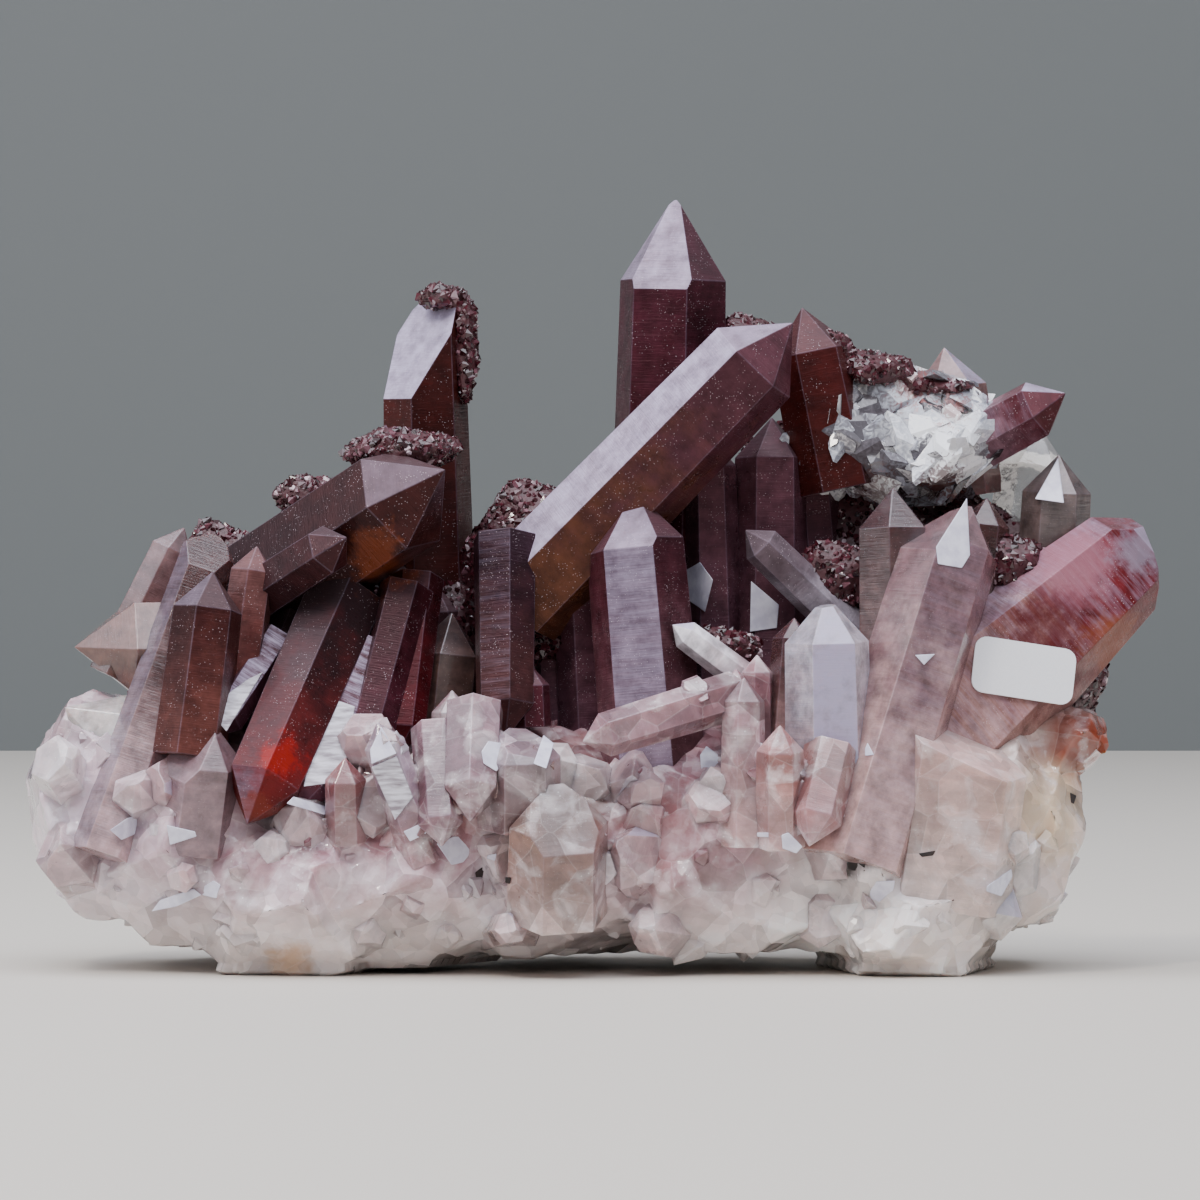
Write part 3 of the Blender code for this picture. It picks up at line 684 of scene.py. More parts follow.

# %% [markdown]
# ## The crystals' own colours
# Tip colour, then root colour. The left group is wine brown, one hanging crystal is deep red, darkened
# here as painted shade, with its glow painted as a red spot. The middle columns are almost black cherry,
# and the right side turns from smoky pink to rust.

# %% Colours of the red crystals
DARK = ("#4c2e36", "#523640")
RED_COLOURS = {
    "pale_left": ("#7c5850", "#a2867e"),
    "white_left": ("#dcd2ce", "#dcd2c6"),
    "short_upper_left": ("#7a5c5e", "#5e3a32"),
    "long_left": ("#54322f", "#b3989a"),
    "stout_left": ("#280f0e", "#4c2a25"),
    "small_left": ("#553634", "#4a2624"),
    "big_upper": ("#2c1210", "#210f11"),
    "beside_big": ("#2e1517", "#241012"),
    # Painted shade: the hanging crystal's colours are set far darker than its own red.
    "hanging_red": ("#44100f", "#140406"),
    "bright_striped": ("#4c2c38", "#3a1c24"),
    "striped": ("#4a2a34", "#3c1c22"),
    "violet_prism": ("#421b25", "#2a0e13"),
    "red_prism": ("#450e13", "#2a0c10"),
    "grey_violet": ("#8a6e74", "#9c8086"),
    "upper_block": ("#2e1414", "#2a1216"),
    "tall_left": ("#33120f", "#36100e"),
    "grey_column": ("#3a2226", "#44292e"),
    "pale_column": ("#4e3a36", "#7c5f58"),
    "hanging_column": ("#3c2020", "#200e18"),
    "small_beside_it": ("#421d25", "#421d25"),
    "front_column": ("#3c1a22", "#5c3c42"),
    "slanting_small": ("#54484e", "#8e8790"),
    "white_blade": ("#d8d4da", "#a08a8e"),
    "great_slanting": ("#46262e", "#52301f"),
    "tallest": ("#381620", "#300e14"),
    "dark_red": ("#3a1210", "#3c1410"),
    "smoky_front": ("#4a2c2c", "#8a6c6a"),
    "red_behind_it": ("#4a2624", "#86605c"),
    "long_leaning": ("#7c585c", "#c4a29e"),
    "grey_front": ("#c6c0cc", "#b8a2a8"),
    "beside_grey": ("#4c2c2e", "#9a7674"),
    "great_red": ("#58161a", "#a07c76"),
    "violet_tip": ("#42121a", "#8a6a76"),
    "back_peak": ("#9a7a78", "#7e4c4c"),
    "clear_side": ("#7a6a68", "#5c4844"),
}
# Faces painted pale lilac as reflections of the sky, some also striped. Ways to look, to the right, back
# and up, then how pale the face there is and how striped.
FROST_AND_SKY_SHEEN = {
    "tall_left": [(-0.6, -0.7, 0.3, 0.85, 0), (0, -0.4, 1, 0.6, 0)],
    "tallest": [(0, -0.6, 0.7, 0.45, 0.05), (-0.7, -0.4, 0.5, 0.3, 0)],
    "front_column": [(0, -1, 0.1, 0.26, 0.05), (0, -0.6, 0.8, 0.32, 0)],
    "great_slanting": [(-0.4, -0.6, 0.7, 0.5, 0.03), (0.3, -0.6, 0.7, 0.34, 0)],
    "big_upper": [(-0.2, -0.6, 0.8, 0.1, 0)],
    "bright_striped": [(0, -1, 0.2, 0.35, 0.3), (-0.8, -0.6, 0.2, 0.1, 0.2)],
    "striped": [(0, -1, 0.2, 0.3, 0.3), (0.8, -0.6, 0, 0, 0.2)],
    "hanging_column": [(0, -1, 0, 0.02, 0.04)],
    "grey_front": [(0, -1, 0.1, 1, 0.05), (0, -0.6, 0.8, 0.9, 0)],
    "white_blade": [(0, -0.7, 0.7, 0.7, 0)],
    "stout_left": [(-0.3, -0.7, 0.8, 0.12, 0)],
    "long_left": [(-0.5, -0.8, 0.2, 0.2, 0.06)],
    "great_red": [(0, -1, 0, 0.06, 0.1), (-0.4, -0.6, 0.7, 0.2, 0.1), (0.5, -0.6, 0.5, 0.4, 0)],
    "violet_tip": [(-0.1, -0.5, 0.9, 0.9, 0), (0.4, -0.5, 0.8, 0.5, 0), (-0.3, -0.9, 0.2, 0, 0.05)],
    "back_peak": [(0.6, -0.6, 0.5, 0.6, 0)],
    "hanging_red": [(-0.7, -0.7, 0, 0.15, 0.05)],
    "long_leaning": [(0, -1, 0, 0.1, 0.05)],
}
SMOKY = (
    "pale_left", "white_left", "long_left", "short_upper_left", "grey_violet", "pale_column", "smoky_front",
    "red_behind_it", "long_leaning", "beside_grey", "grey_front", "clear_side", "back_peak",
)
red_crystals = grow_mesh(
    "hematoid_crystals", [c for c in every if c.name not in SMOKY], RED_COLOURS, DARK, frost_sheen_faces=FROST_AND_SKY_SHEEN
)
red_crystals.data.materials.append(RED)
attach(red_crystals, "root")
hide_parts("hematoid_quartz")

# %% The smoky crystals
def smoky_quartz():
    """Smoky quartz with less iron, so light goes some way into it: IOR 1.54."""
    material, tree = blank_material("smoky_quartz_cloudy")
    body, _, normal = quartz_nodes(tree, 0.3, 0.3)
    return finished(material, {
        "Base Color": body, "Roughness": 0.16, "Normal": normal, "IOR": QUARTZ_IOR,
        "Transmission Weight": 0.35, "Coat Weight": 0.4, "Coat Roughness": 0.05,
        "Subsurface Weight": 0.5, "Subsurface Radius": (0.004, 0.0025, 0.002), "Subsurface Scale": 1.0,
    })


smoky_crystals = grow_mesh(
    "smoky_crystals", [c for c in every if c.name in SMOKY], RED_COLOURS, DARK, frost_sheen_faces=FROST_AND_SKY_SHEEN
)
smoky_crystals.data.materials.append(smoky_quartz())
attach(smoky_crystals, "root")

# %% [markdown]
# ## Clear quartz
# At the upper right a crystal is broken open and free of iron. Clear quartz is drawn as real glass is: light
# goes through it and bends, and a faint absorption inside tints it where it is thick.

# %% The clear pieces
def clear_quartz():
    """Colourless quartz, transparent, IOR 1.54, with rough broken faces."""
    material, tree = blank_material("clear_quartz_broken")
    ripples = noisy(tree, on_object(tree), 260.0, 4.0)
    inside = add(tree, "ShaderNodeVolumeAbsorption", {}, {"Color": tint("#dccfc0"), "Density": 12.0})
    joined(tree, inside, "Volume")
    return finished(material, {
        "Base Color": tint("#fbfaf8"), "Roughness": 0.1, "IOR": QUARTZ_IOR, "Transmission Weight": 0.75,
        "Normal": bumped(tree, ripples, 0.6, 0.0008),
    })


# Where the break ends at the right, the height that it leans back from, and by how much.
BREAK_ENDS, BREAK_FOOT, BREAK_SLOPE = 84 * MM, 109 * MM, 0.6


def broken_front(made):
    """Flattens the front of the clear lump, as a crystal breaks, leaning back towards its top."""
    for vertex in made.data.vertices:
        if vertex.co.x < BREAK_ENDS:
            vertex.co.y = max(vertex.co.y, BREAK_SLOPE * (vertex.co.z - BREAK_FOOT))


clear_pieces = grow_mesh("clear_quartz", CLEAR, {}, ("#d8cfc8", "#d8cfc8"), edge=0.3)
broken_front(clear_pieces)
clear_pieces.data.materials.append(clear_quartz())
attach(clear_pieces, "root")

# %% [markdown]
# ## The matrix
# The base is milky quartz, grown as a tangle of stubby crystals and broken across. The solid gives its form.
# A remeshed copy, sunk a little, is the cloudy body. Crisp crystals and tips are set into it further down.

# %% The matrix body
def merged_copy(name, node):
    """A copy of a solid's mesh with its loose triangles joined."""
    solid = bmesh.new()
    solid.from_mesh(frame["nodes"][node].data)
    bmesh.ops.remove_doubles(solid, verts=solid.verts[:], dist=1e-6)
    mesh = bpy.data.meshes.new(name)
    solid.to_mesh(mesh)
    solid.free()
    return placed(name, mesh)


def applied(made):
    """The object with its modifiers turned into plain mesh."""
    bpy.context.view_layer.update()
    done = made.evaluated_get(bpy.context.evaluated_depsgraph_get())
    mesh = bpy.data.meshes.new_from_object(done)
    made.modifiers.clear()
    made.data = mesh
    return made


def remeshed(made, voxel):
    """The object as one even skin, in steps of that many millimetres."""
    remesh = made.modifiers.new("remesh", "REMESH")
    remesh.mode = "VOXEL"
    remesh.voxel_size = voxel * MM
    return applied(made)


def triangles(made):
    """How many triangles the object's mesh comes to."""
    return sum(len(face.vertices) - 2 for face in made.data.polygons)


# Lumps about 4 mm wide and half a millimetre deep, and the foot that stays flat.
LUMPS, LUMP_DEPTH, FLAT_BELOW = 260, 0.5, 1.2


def sunk_body(name, node, voxel, sink):
    """A finely remeshed copy of a solid, sunk by about that much and gently lumpy."""
    made = remeshed(merged_copy(name, node), voxel)
    fine = made.data
    count = len(fine.vertices)
    at, out = np.empty(count * 3), np.empty(count * 3)
    fine.vertices.foreach_get("co", at)
    fine.vertices.foreach_get("normal", out)
    at, out = at.reshape(-1, 3), out.reshape(-1, 3)
    depth = np.array([sink + LUMP_DEPTH * noise.noise(Vector(co) * LUMPS) for co in at]) * MM
    depth[at[:, 2] < FLAT_BELOW * MM] = 0.0
    sunk = at - out * depth[:, None]
    sunk[:, 2] = np.maximum(sunk[:, 2], 0.0)
    fine.vertices.foreach_set("co", sunk.ravel())
    fine.update()
    fine.polygons.foreach_set("use_smooth", [True] * len(fine.polygons))
    print(name, "triangles", triangles(made))
    return made


matrix_body = sunk_body("matrix_body", "matrix", 1.1, 1.2)

# %% [markdown]
# ## Milky quartz
# Milky quartz is cloudy all through, so light enters it, scatters and comes out softened. Its colour drifts
# from lilac white at the left through pinkish brown in the middle to cream at the lower right, with rust
# where red crystals stand in it. It breaks into facets, and veils, cracks and bright grains of painted
# sparkle go with them.

# %% The colour of the base
# Given as the iron spots are.
SPOTS = {
    "orange_lump": (102, 46, 14, 1.0, "#8a3414"),
    "rust_under_striped": (-41, 38, 14, 0.75, "#682826"),
    "mauve_feet": (-62, 38, 16, 0.6, "#886068"),
    "red_feet": (44, 40, 15, 0.7, "#7c3c32"),
    "tan_block": (-9, 34, 17, 0.9, "#7a5644"),
    "rust_middle": (14, 30, 14, 0.5, "#8a4e46"),
    "beige_block": (93, 32, 12, 0.85, "#e0c6a6"),
    "ochre_left": (-59, 4, 5, 0.6, "#cf9a5c"),
    "ochre_right": (61, 7, 8, 0.55, "#d09a66"),
    "cream_foot": (52, 11, 22, 0.75, "#f8f0ec"),
    "pink_beside_block": (74, 34, 15, 0.4, "#a87870"),
    "black_blotch": (52.8, 23, 3.6, 0.95, "#1c1514"),
}


# Along which axis, from where to where in metres, how strong it is at the end, and its colour.
DRIFTS = (
    ("X", -0.065, -0.1, 0.65, "#e4d4de"),
    ("Z", 0.03, 0.052, 0.55, "#8a5a62"),
    ("Z", 0.026, 0.002, 0.8, "#f8eeea"),
    ("X", 0.045, 0.085, 0.65, "#f0e0d4"),
)


def base_colour(tree, place):
    """Pinkish milky quartz: paler at the left end and at the foot, stained where the red crystals stand."""
    split = add(tree, "ShaderNodeSeparateXYZ", {}, {0: place})
    drift = noisy(tree, place, 70.0, 5.0, Roughness=0.6)
    body = ramp_of(tree, drift, (0.34, "#6a3c46"), (0.5, "#a87d87"), (0.68, "#dccad2"))
    for side, start, end, amount, colour in DRIFTS:
        here = moved(tree, split.outputs[side], start, end, high=amount, smooth=True)
        body = blend(tree, here, body, colour)
    body = spotted(tree, place, body, SPOTS, drift)
    stains = noisy(tree, place, 90.0, 4.0, Roughness=0.7)
    return blend(tree, moved(tree, stains, 0.6, 0.8, high=0.45), body, "#7c3629")


# %% The material of the matrix
def fractured(tree, place, body, strength, **under):
    """The body with veils, cracks, facets of its own tone and bright grains of painted sparkle, then its
    normal and facets.
    """
    # Whitish veils hang inside it, and cracks show as bright threads.
    veils = moved(tree, noisy(tree, place, 170.0, 4.0, Distortion=0.6), 0.5, 0.72, high=0.6)
    body = blend(tree, veils, body, "#ece2e4")
    cracks = cells_of(tree, place, 130.0, "DISTANCE_TO_EDGE")["Distance"]
    body = blend(tree, moved(tree, cracks, 0.0, 0.025, 0.12, 0.0), body, "#f6f2f2")

    # Fracture facets about 3 mm and 8 mm wide, each tilted its own way, some darker than others.
    height = 0.0
    for scale, tilt, spread in ((360.0, 0.4, 0.14), (130.0, 1.1, 0.26)):
        cells = cells_of(tree, place, scale)
        apart = vector(tree, "SUBTRACT", place, cells["Position"])
        lean = vector(tree, "SUBTRACT", cells["Color"], (0.5, 0.5, 0.5))
        facet = vector(tree, "DOT_PRODUCT", apart, lean, output="Value")
        height = reckon(tree, "MULTIPLY_ADD", facet, tilt, height)
        body = scaled(tree, body, moved(tree, cells["Color"], 0.0, 1.0, 1 - spread, 1 + spread))

    # Bright grains about 0.4 mm wide, painted sparkle, lie where the veils are.
    sparkle_grains = reckon(tree, "LESS_THAN", cells_of(tree, place, 900.0)["Distance"], 0.17)
    body = blend(tree, reckon(tree, "MULTIPLY", sparkle_grains, veils, clamp=True), body, "#ffffff")
    return body, bumped(tree, height, strength, 1.0, **under), cells["Color"]


def milky_quartz(name, rough, soft, clear):
    """Cloudy quartz with subsurface light, pink iron stains, fine fracture facets, painted sparkle and
    painted glints.
    """
    material, tree = blank_material(name)
    place = on_object(tree)
    body, normal, facets = fractured(tree, place, base_colour(tree, place), 0.8)
    # Painted glint: the few tips whose shade is highest are painted pale lilac.
    glint = moved(tree, stored(tree, "shade"), 0.93, 0.96, high=0.75)
    return finished(material, {
        "Base Color": blend(tree, glint, body, "#e9e6f4"), "Normal": normal, "IOR": QUARTZ_IOR,
        "Roughness": moved(tree, facets, 0.0, 1.0, rough - 0.12, rough + 0.16),
        "Subsurface Weight": soft, "Subsurface Radius": (0.004, 0.003, 0.0027), "Subsurface Scale": 1.0,
        "Transmission Weight": clear, "Coat Weight": 0.9, "Coat Roughness": 0.03,
    })


MILKY = milky_quartz("milky_quartz_fractured", 0.26, 0.45, 0.0)
matrix_body.data.materials.append(MILKY)
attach(matrix_body, "root")
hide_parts("matrix")

# %% [markdown]
# ## Crystals in the matrix
# Stubby crystals stand out of the base, most of them pale, a few stained. They are made as the tall ones are,
# take part of their colour from the base under them, and are fractured like it, so they look grown into it.

# %% The stubby crystals
def pale_quartz():
    """Cloudy pale quartz with growth lines."""
    material, tree = blank_material("pale_quartz_frosted")
    body, gloss, normal = quartz_nodes(tree, 0.35, 0.3, base_colour)
    body, normal, _ = fractured(tree, on_object(tree), body, 0.5, Normal=normal)
    return finished(material, {
        "Base Color": body, "Roughness": gloss, "Normal": normal, "IOR": QUARTZ_IOR,
        "Subsurface Weight": 0.4, "Subsurface Radius": (0.005, 0.0035, 0.003), "Subsurface Scale": 1.0,
        "Transmission Weight": 0.1, "Coat Weight": 0.8, "Coat Roughness": 0.03,
    })


STUB_COLOURS = {
    "red_tipped": ("#824c4a", "#9c7c7a"),
    "banded": ("#a094a6", "#a07a7c"),
    "violet_hanging": ("#5e424e", "#806672"),
    "mauve_hanging": ("#5e4450", "#806670"),
    "little_grey": ("#6c5458", "#5a4246"),
    "striped_block": ("#8e828e", "#6c5058"),
    "lying": ("#98787e", "#8c686c"),
    "tan_broken": ("#6e5042", "#8e6e60"),
    "pink_column": ("#a2868a", "#b2948e"),
    "tip_one": ("#7c5256", "#7c5256"),
    "tip_two": ("#7c5256", "#6e4244"),
    "orange_prism": ("#8c5c54", "#a6827a"),
    "red_hanging": ("#824c4c", "#98706a"),
    "pink_block": ("#b88e86", "#ccb0a6"),
}
rng = random.Random(3)
small = stubs()
for stub in small:
    pale = rng.choice(["#d4c2c4", "#ddd0d2", "#c4a9ac", "#e6dede", "#b39294"])
    STUB_COLOURS[stub.name] = (pale, "#c9b2b2")
# Painted glints: a few random stub faces that look forward are painted pale.
glints = {
    stub.name: [(rng.uniform(-0.8, 0.8), -0.8, rng.uniform(0.0, 0.8), 0.6, 0)]
    for stub in rng.sample(small, 18)
}
matrix_crystals = grow_mesh(
    "matrix_crystals", STUBS + small, STUB_COLOURS, ("#b7a3a2", "#a08684"), frost_sheen_faces=glints
)
matrix_crystals.data.materials.append(pale_quartz())
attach(matrix_crystals, "root")

# %% [markdown]
# ## Small tips
# Between the stubs the matrix is all small tips of the same tangle, most of their length grown in. Geometry
# Nodes sets them into the body, each one of a few uneven kinds, leaning and sized at random.

# %% The small tips
def collection_of(name, solids):
    """A collection of meshes made from closed solids a millimetre or so across, for scattering."""
    kinds = bpy.data.collections.new(name)
    bpy.context.scene.collection.children.link(kinds)
    for number, solid in enumerate(solids):
        bmesh.ops.scale(solid, vec=(MM, MM, MM), verts=solid.verts[:])
        mesh = bpy.data.meshes.new(f"{name}_{number}")
        solid.to_mesh(mesh)
        solid.free()
        kinds.objects.link(bpy.data.objects.new(mesh.name, mesh))
    return kinds


def cleared(kinds):
    """Takes the kinds away once they have been scattered."""
    for thing in list(kinds.objects):
        bpy.data.objects.remove(thing)
    bpy.data.collections.remove(kinds)


def uneven_tips(count, seed, height, only_pyramid=False):
    """Short six-sided crystals, 1 mm across, with pyramids cut unevenly. Half of each is below the surface.

    only_pyramid leaves the prism's faces out, so each is a plain pyramid that widens down to its root.
    """
    rng = random.Random(seed)
    for k in range(count):
        cuts = [rng.choice((0, 0, 0.1, 0.22)) for _ in range(6)]
        tip = rng.uniform(0.28, 0.45) * height
        planes = Crystal(
            f"tip_{k}", (0, SETTLE + tip, 0), (0, SETTLE - 0.5, 0), rng.uniform(0.8, 1.1),
            roll=rng.uniform(0, 60), flat=rng.uniform(0.7, 1.0), cuts=cuts,
        ).planes()
        yield convex(planes[::2] if only_pyramid else planes)


# How many, how large and how far they lean, with lengths in millimetres.
SCATTERED = {"Per square metre": 30000.0, "Smallest": 3.0, "Largest": 9.0, "Lean": 0.6, "Bare below": 4.0}
FULL_TURN = 6.28


def scatter_tree(name, kinds, material):
    """Pieces scattered over a surface, with named inputs for how many, how large and how far they lean."""
    tree = bpy.data.node_groups.new(name, "GeometryNodeTree")
    face = tree.interface
    face.new_socket("Geometry", in_out="INPUT", socket_type="NodeSocketGeometry")
    for label, value in SCATTERED.items():
        face.new_socket(label, in_out="INPUT", socket_type="NodeSocketFloat").default_value = value
    face.new_socket("Seed", in_out="INPUT", socket_type="NodeSocketInt").default_value = 4
    face.new_socket("Geometry", in_out="OUTPUT", socket_type="NodeSocketGeometry")
    given = add(tree, "NodeGroupInput").outputs
    spread = add(tree, "GeometryNodeDistributePointsOnFaces", {}, {
        "Mesh": given["Geometry"], "Density": given["Per square metre"], "Seed": given["Seed"],
    })
    above = add(tree, "GeometryNodeInputPosition")
    height = add(tree, "ShaderNodeSeparateXYZ", {}, {0: above.outputs[0]})
    low = add(tree, "FunctionNodeCompare", {"operation": "LESS_THAN"}, {
        0: height.outputs["Z"], 1: reckon(tree, "MULTIPLY", given["Bare below"], MM),
    })
    kept = add(tree, "GeometryNodeDeleteGeometry", {"domain": "POINT"}, {
        "Geometry": spread.outputs["Points"], "Selection": low.outputs[0],
    })
    below = reckon(tree, "MULTIPLY", given["Lean"], -1.0)
    lows = add(tree, "ShaderNodeCombineXYZ", {}, {"X": below, "Y": below})
    highs = add(tree, "ShaderNodeCombineXYZ", {}, {"X": given["Lean"], "Y": given["Lean"], "Z": FULL_TURN})
    lean = add(tree, "FunctionNodeRandomValue", {"data_type": "FLOAT_VECTOR"}, {
        "Min": lows.outputs[0], "Max": highs.outputs[0], "Seed": given["Seed"],
    })
    turned = add(tree, "FunctionNodeRotateRotation", {"rotation_space": "LOCAL"}, {
        "Rotation": spread.outputs["Rotation"], "Rotate By": lean.outputs["Value"],
    })
    size = add(tree, "FunctionNodeRandomValue", {"data_type": "FLOAT"}, {
        2: given["Smallest"], 3: given["Largest"], "Seed": given["Seed"],
    })
    shapes = add(tree, "GeometryNodeCollectionInfo", {}, {
        "Collection": kinds, "Separate Children": True, "Reset Children": True,
    })
    copies = add(tree, "GeometryNodeInstanceOnPoints", {}, {
        "Points": kept.outputs[0], "Instance": shapes.outputs[0], "Pick Instance": True,
        "Rotation": turned.outputs[0], "Scale": size.outputs[1],
    })
    shade = add(tree, "FunctionNodeRandomValue", {"data_type": "FLOAT"}, {"Seed": 11})
    marked = add(tree, "GeometryNodeStoreNamedAttribute", {"data_type": "FLOAT", "domain": "INSTANCE"}, {
        "Geometry": copies.outputs[0], "Name": "shade", "Value": shade.outputs[1],
    })
    real = add(tree, "GeometryNodeRealizeInstances", {}, {"Geometry": marked.outputs[0]})
    painted = add(tree, "GeometryNodeSetMaterial", {}, {"Geometry": real.outputs[0], "Material": material})
    add(tree, "NodeGroupOutput", {}, {"Geometry": painted.outputs[0]})
    return tree


def scatter(name, ground, tree, values):
    """The tree's pieces over the ground's surface, as a plain mesh."""
    carrier = placed(name, ground.data.copy())
    nodes = carrier.modifiers.new("scatter", "NODES")
    nodes.node_group = tree
    for item in tree.interface.items_tree:
        if item.in_out == "INPUT" and item.name in values:
            nodes[item.identifier] = values[item.name]
    applied(carrier)
    print(name, "triangles", triangles(carrier))
    return carrier


kinds = collection_of("small_tips", uneven_tips(9, 21, 1.0))
TIPS = scatter_tree("small_tips", kinds, milky_quartz("milky_quartz_tips", 0.2, 0.3, 0.1))
small_tips = scatter("small_tips", matrix_body, TIPS, {"Per square metre": 5000.0})
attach(small_tips, "root")
cleared(kinds)

# %% [markdown]
# ## The broken clear mass
# Clear quartz breaks into curved flakes. Some mirror the sky and some are dark because light passes on
# through them: both are painted, as flakes coloured from white to dark. A pink band of iron runs along the
# top. Thin flakes are scattered over the clear lump for this.

# %% The flakes
def flake_material():
    """Flakes of clear quartz painted from dark to white, as light passing through and mirrored sky, pink
    along the upper edge and brown at the foot.
    """
    material, tree = blank_material("clear_quartz_flakes")
    place = on_object(tree)
    cloud = noisy(tree, place, 700.0, 5.0, Distortion=1.5)
    mixed = reckon(tree, "MULTIPLY_ADD", cloud, 0.6, reckon(tree, "MULTIPLY", stored(tree, "shade"), 0.7))
    body = ramp_of(tree, mixed, (0.3, "#2c2428"), (0.5, "#77737a"), (0.74, "#bfc3ce"), (0.94, "#ffffff"))
    return finished(material, {
        "Base Color": spotted(tree, place, body, FLAKE_SPOTS, cloud), "Roughness": 0.14, "IOR": QUARTZ_IOR,
        "Transmission Weight": 0.15, "Coat Weight": 0.6, "Coat Roughness": 0.03,
    })


FLAKE_SPOTS = {
    "bright_patch": (73, 109, 6, 0.9, "#fbfcff"),
    "pink_band": (67, 119, 4, 0.7, "#b0706e"),
    "pink_band_right": (75, 115, 3, 0.6, "#b0706e"),
    "silvery": (53, 116, 9, 0.6, "#5c585e"),
    "glassy_left": (57, 105, 7, 0.5, "#77737a"),
    "brown_foot": (72, 99, 4, 0.8, "#6a4440"),
    "brown_foot_left": (58, 98, 4, 0.6, "#7c5450"),
}


def flakes(count, seed):
    """Thin uneven flakes about a millimetre across, lying flat."""
    rng = random.Random(seed)
    for k in range(count):
        half = (rng.uniform(0.45, 0.7), rng.uniform(0.3, 0.5), rng.uniform(0.1, 0.18))
        yield convex(Chunk(f"flake_{k}", (0, 0, SETTLE), half, -0.3, seed + k, faces=9).planes())


lump = grow_mesh("flake_ground", CLEAR[:1], {}, DARK, edge=1.2, grow=-0.2)
broken_front(lump)
kinds = collection_of("flakes", flakes(7, 90))
FLAKES = scatter_tree("flakes", kinds, flake_material())
clear_flakes = scatter("clear_flakes", lump, FLAKES, {
    "Per square metre": 130000.0, "Smallest": 2.5, "Largest": 9.0, "Lean": 0.2,
})
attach(clear_flakes, "root")
cleared(kinds)
bpy.data.objects.remove(lump)

# %% [markdown]
# ## Faces that catch the sky
# Here and there one flat face mirrors the sky and stands out pale lilac with straight sides. That reflection
# is painted: a pale lilac plate is laid on the face. Each is drawn as the eye sees it, and a straight line
# from the eye finds how far back the quartz is, so the face lies on it.

# %% The faces, as corners across and up
FACES = {
    "left_one": [(-95.4, 29.4), (-92.1, 31.7), (-86.1, 33.7), (-85.9, 32.4), (-88.4, 29.4), (-93.1, 27.4)],
    "left_two": [(-84.1, 30.4), (-78.4, 29.1), (-78.1, 28.1), (-83.4, 26.4)],
    "left_low": [(-87.1, 13.1), (-85.4, 15.4), (-78.7, 17.7), (-77.1, 16.4), (-82.1, 14.1)],
    "left_low_two": [(-76.7, 18.1), (-74.7, 19.3), (-73.3, 18.4), (-74.1, 15.7), (-77.1, 16.4)],
    "middle_left": [(-30.1, 26.7), (-26.7, 28.1), (-22.7, 28.5), (-23.5, 23.1), (-27.1, 22.4), (-28.7, 24.7)],
    "middle_dot": [(-19.9, 24.4), (-18.1, 24.7), (-18.4, 23.2), (-20.1, 23.7)],
    "step_end": [(-60.1, 34.7), (-58.7, 36.1), (-52.1, 34.1), (-52.4, 32.4)],
    "banded_top": [(-43.4, 45.4), (-41.1, 50.1), (-38.1, 44.7), (-43.1, 42.6)],
    "banded_foot": [(-36.7, 29.1), (-32.4, 31.1), (-32.1, 28.7), (-35.4, 27.1)],
    "block_left": [(-21.1, 45.1), (-19.7, 47.2), (-16.7, 46.7), (-15.7, 44.4), (-18.1, 41.1), (-20.7, 42.7)],
    "block_right": [(-8.7, 48.4), (-6.6, 46.7), (-8.1, 41.7), (-10.7, 42.7)],
    "middle_right": [(22.6, 44.4), (23.9, 46.2), (26.3, 44.4), (27, 41.7), (22.9, 40.4)],
    "right_bar": [(32.6, 28.9), (36.3, 28.9), (36.3, 27.9), (32.6, 28.1)],
    "right_five": [(38.9, 28.4), (40.3, 28.9), (43.1, 26.1), (41.9, 24.7), (39.1, 25.7)],
    "right_low": [(55.3, 19.1), (61.6, 19.3), (61.3, 17.4), (57.3, 13.9), (55.3, 15.4)],
    "far_right": [(79.9, 18.1), (84.9, 21.7), (85.1, 20.1), (82.9, 16.1), (79.9, 17.1)],
    "leaning_one": [(65.6, 64.4), (69.6, 64.6), (67.4, 62.4)],
    "leaning_two": [(55.6, 45.7), (56.1, 46.9), (57.4, 44.4), (55.6, 44.2)],
    "between_one": [(32.8, 79.2), (38.4, 74.4), (38, 69.8), (32.6, 69)],
    "between_two": [(19.8, 81.4), (22.6, 83), (25.2, 79.4), (23.6, 73), (20.2, 75.4)],
    "upper_right": [(76, 95.8), (76.6, 84.4), (75, 81.8), (70.2, 82.6), (69.8, 86)],
    "clear_one": [(94.2, 103.8), (95.4, 94.8), (89.6, 95.6)],
}
STRIPED_FACES = {
    "bright_step": [(-76.1, 53.4), (-68.1, 59.4), (-64.8, 61), (-72.1, 49.1)],
    "long_step": [(-56.7, 38.1), (-56.2, 40.4), (-50.1, 55.4), (-46.4, 54.1), (-48.1, 43.4), (-51.7, 38.7)],
    "banded_side": [(-43.1, 42), (-38.1, 44.2), (-34.8, 36), (-38.4, 31.4)],
}
DARK_SPOTS = {
    "blotch": [(49.6, 23.7), (54.6, 23.4), (55.6, 24.7), (55.6, 20.4), (53.9, 21.1), (49.9, 22.1)],
    "fleck_one": [(66.3, 24.7), (69.7, 25.3), (69.2, 24.3), (67, 24)],
    "fleck_two": [(96.6, 36.9), (97.9, 36.3), (97.4, 34.6), (96.8, 34.9)],
    "fleck_three": [(-22.4, 20.9), (-20.4, 22.4), (-21, 19.4), (-22, 19.2)],
    "fleck_four": [(-16.4, 20), (-15.2, 19.9), (-15.4, 18.6), (-16.3, 18.8)],
}


# %% Faces laid on the quartz
EYE = (Vector((0, -EYE_DISTANCE, EYE_HEIGHT - SETTLE)) + CENTRING) * MM
# Quartz seen more edge-on than this gives no plane, so its plate faces the eye.
TURNED_AWAY = -0.35
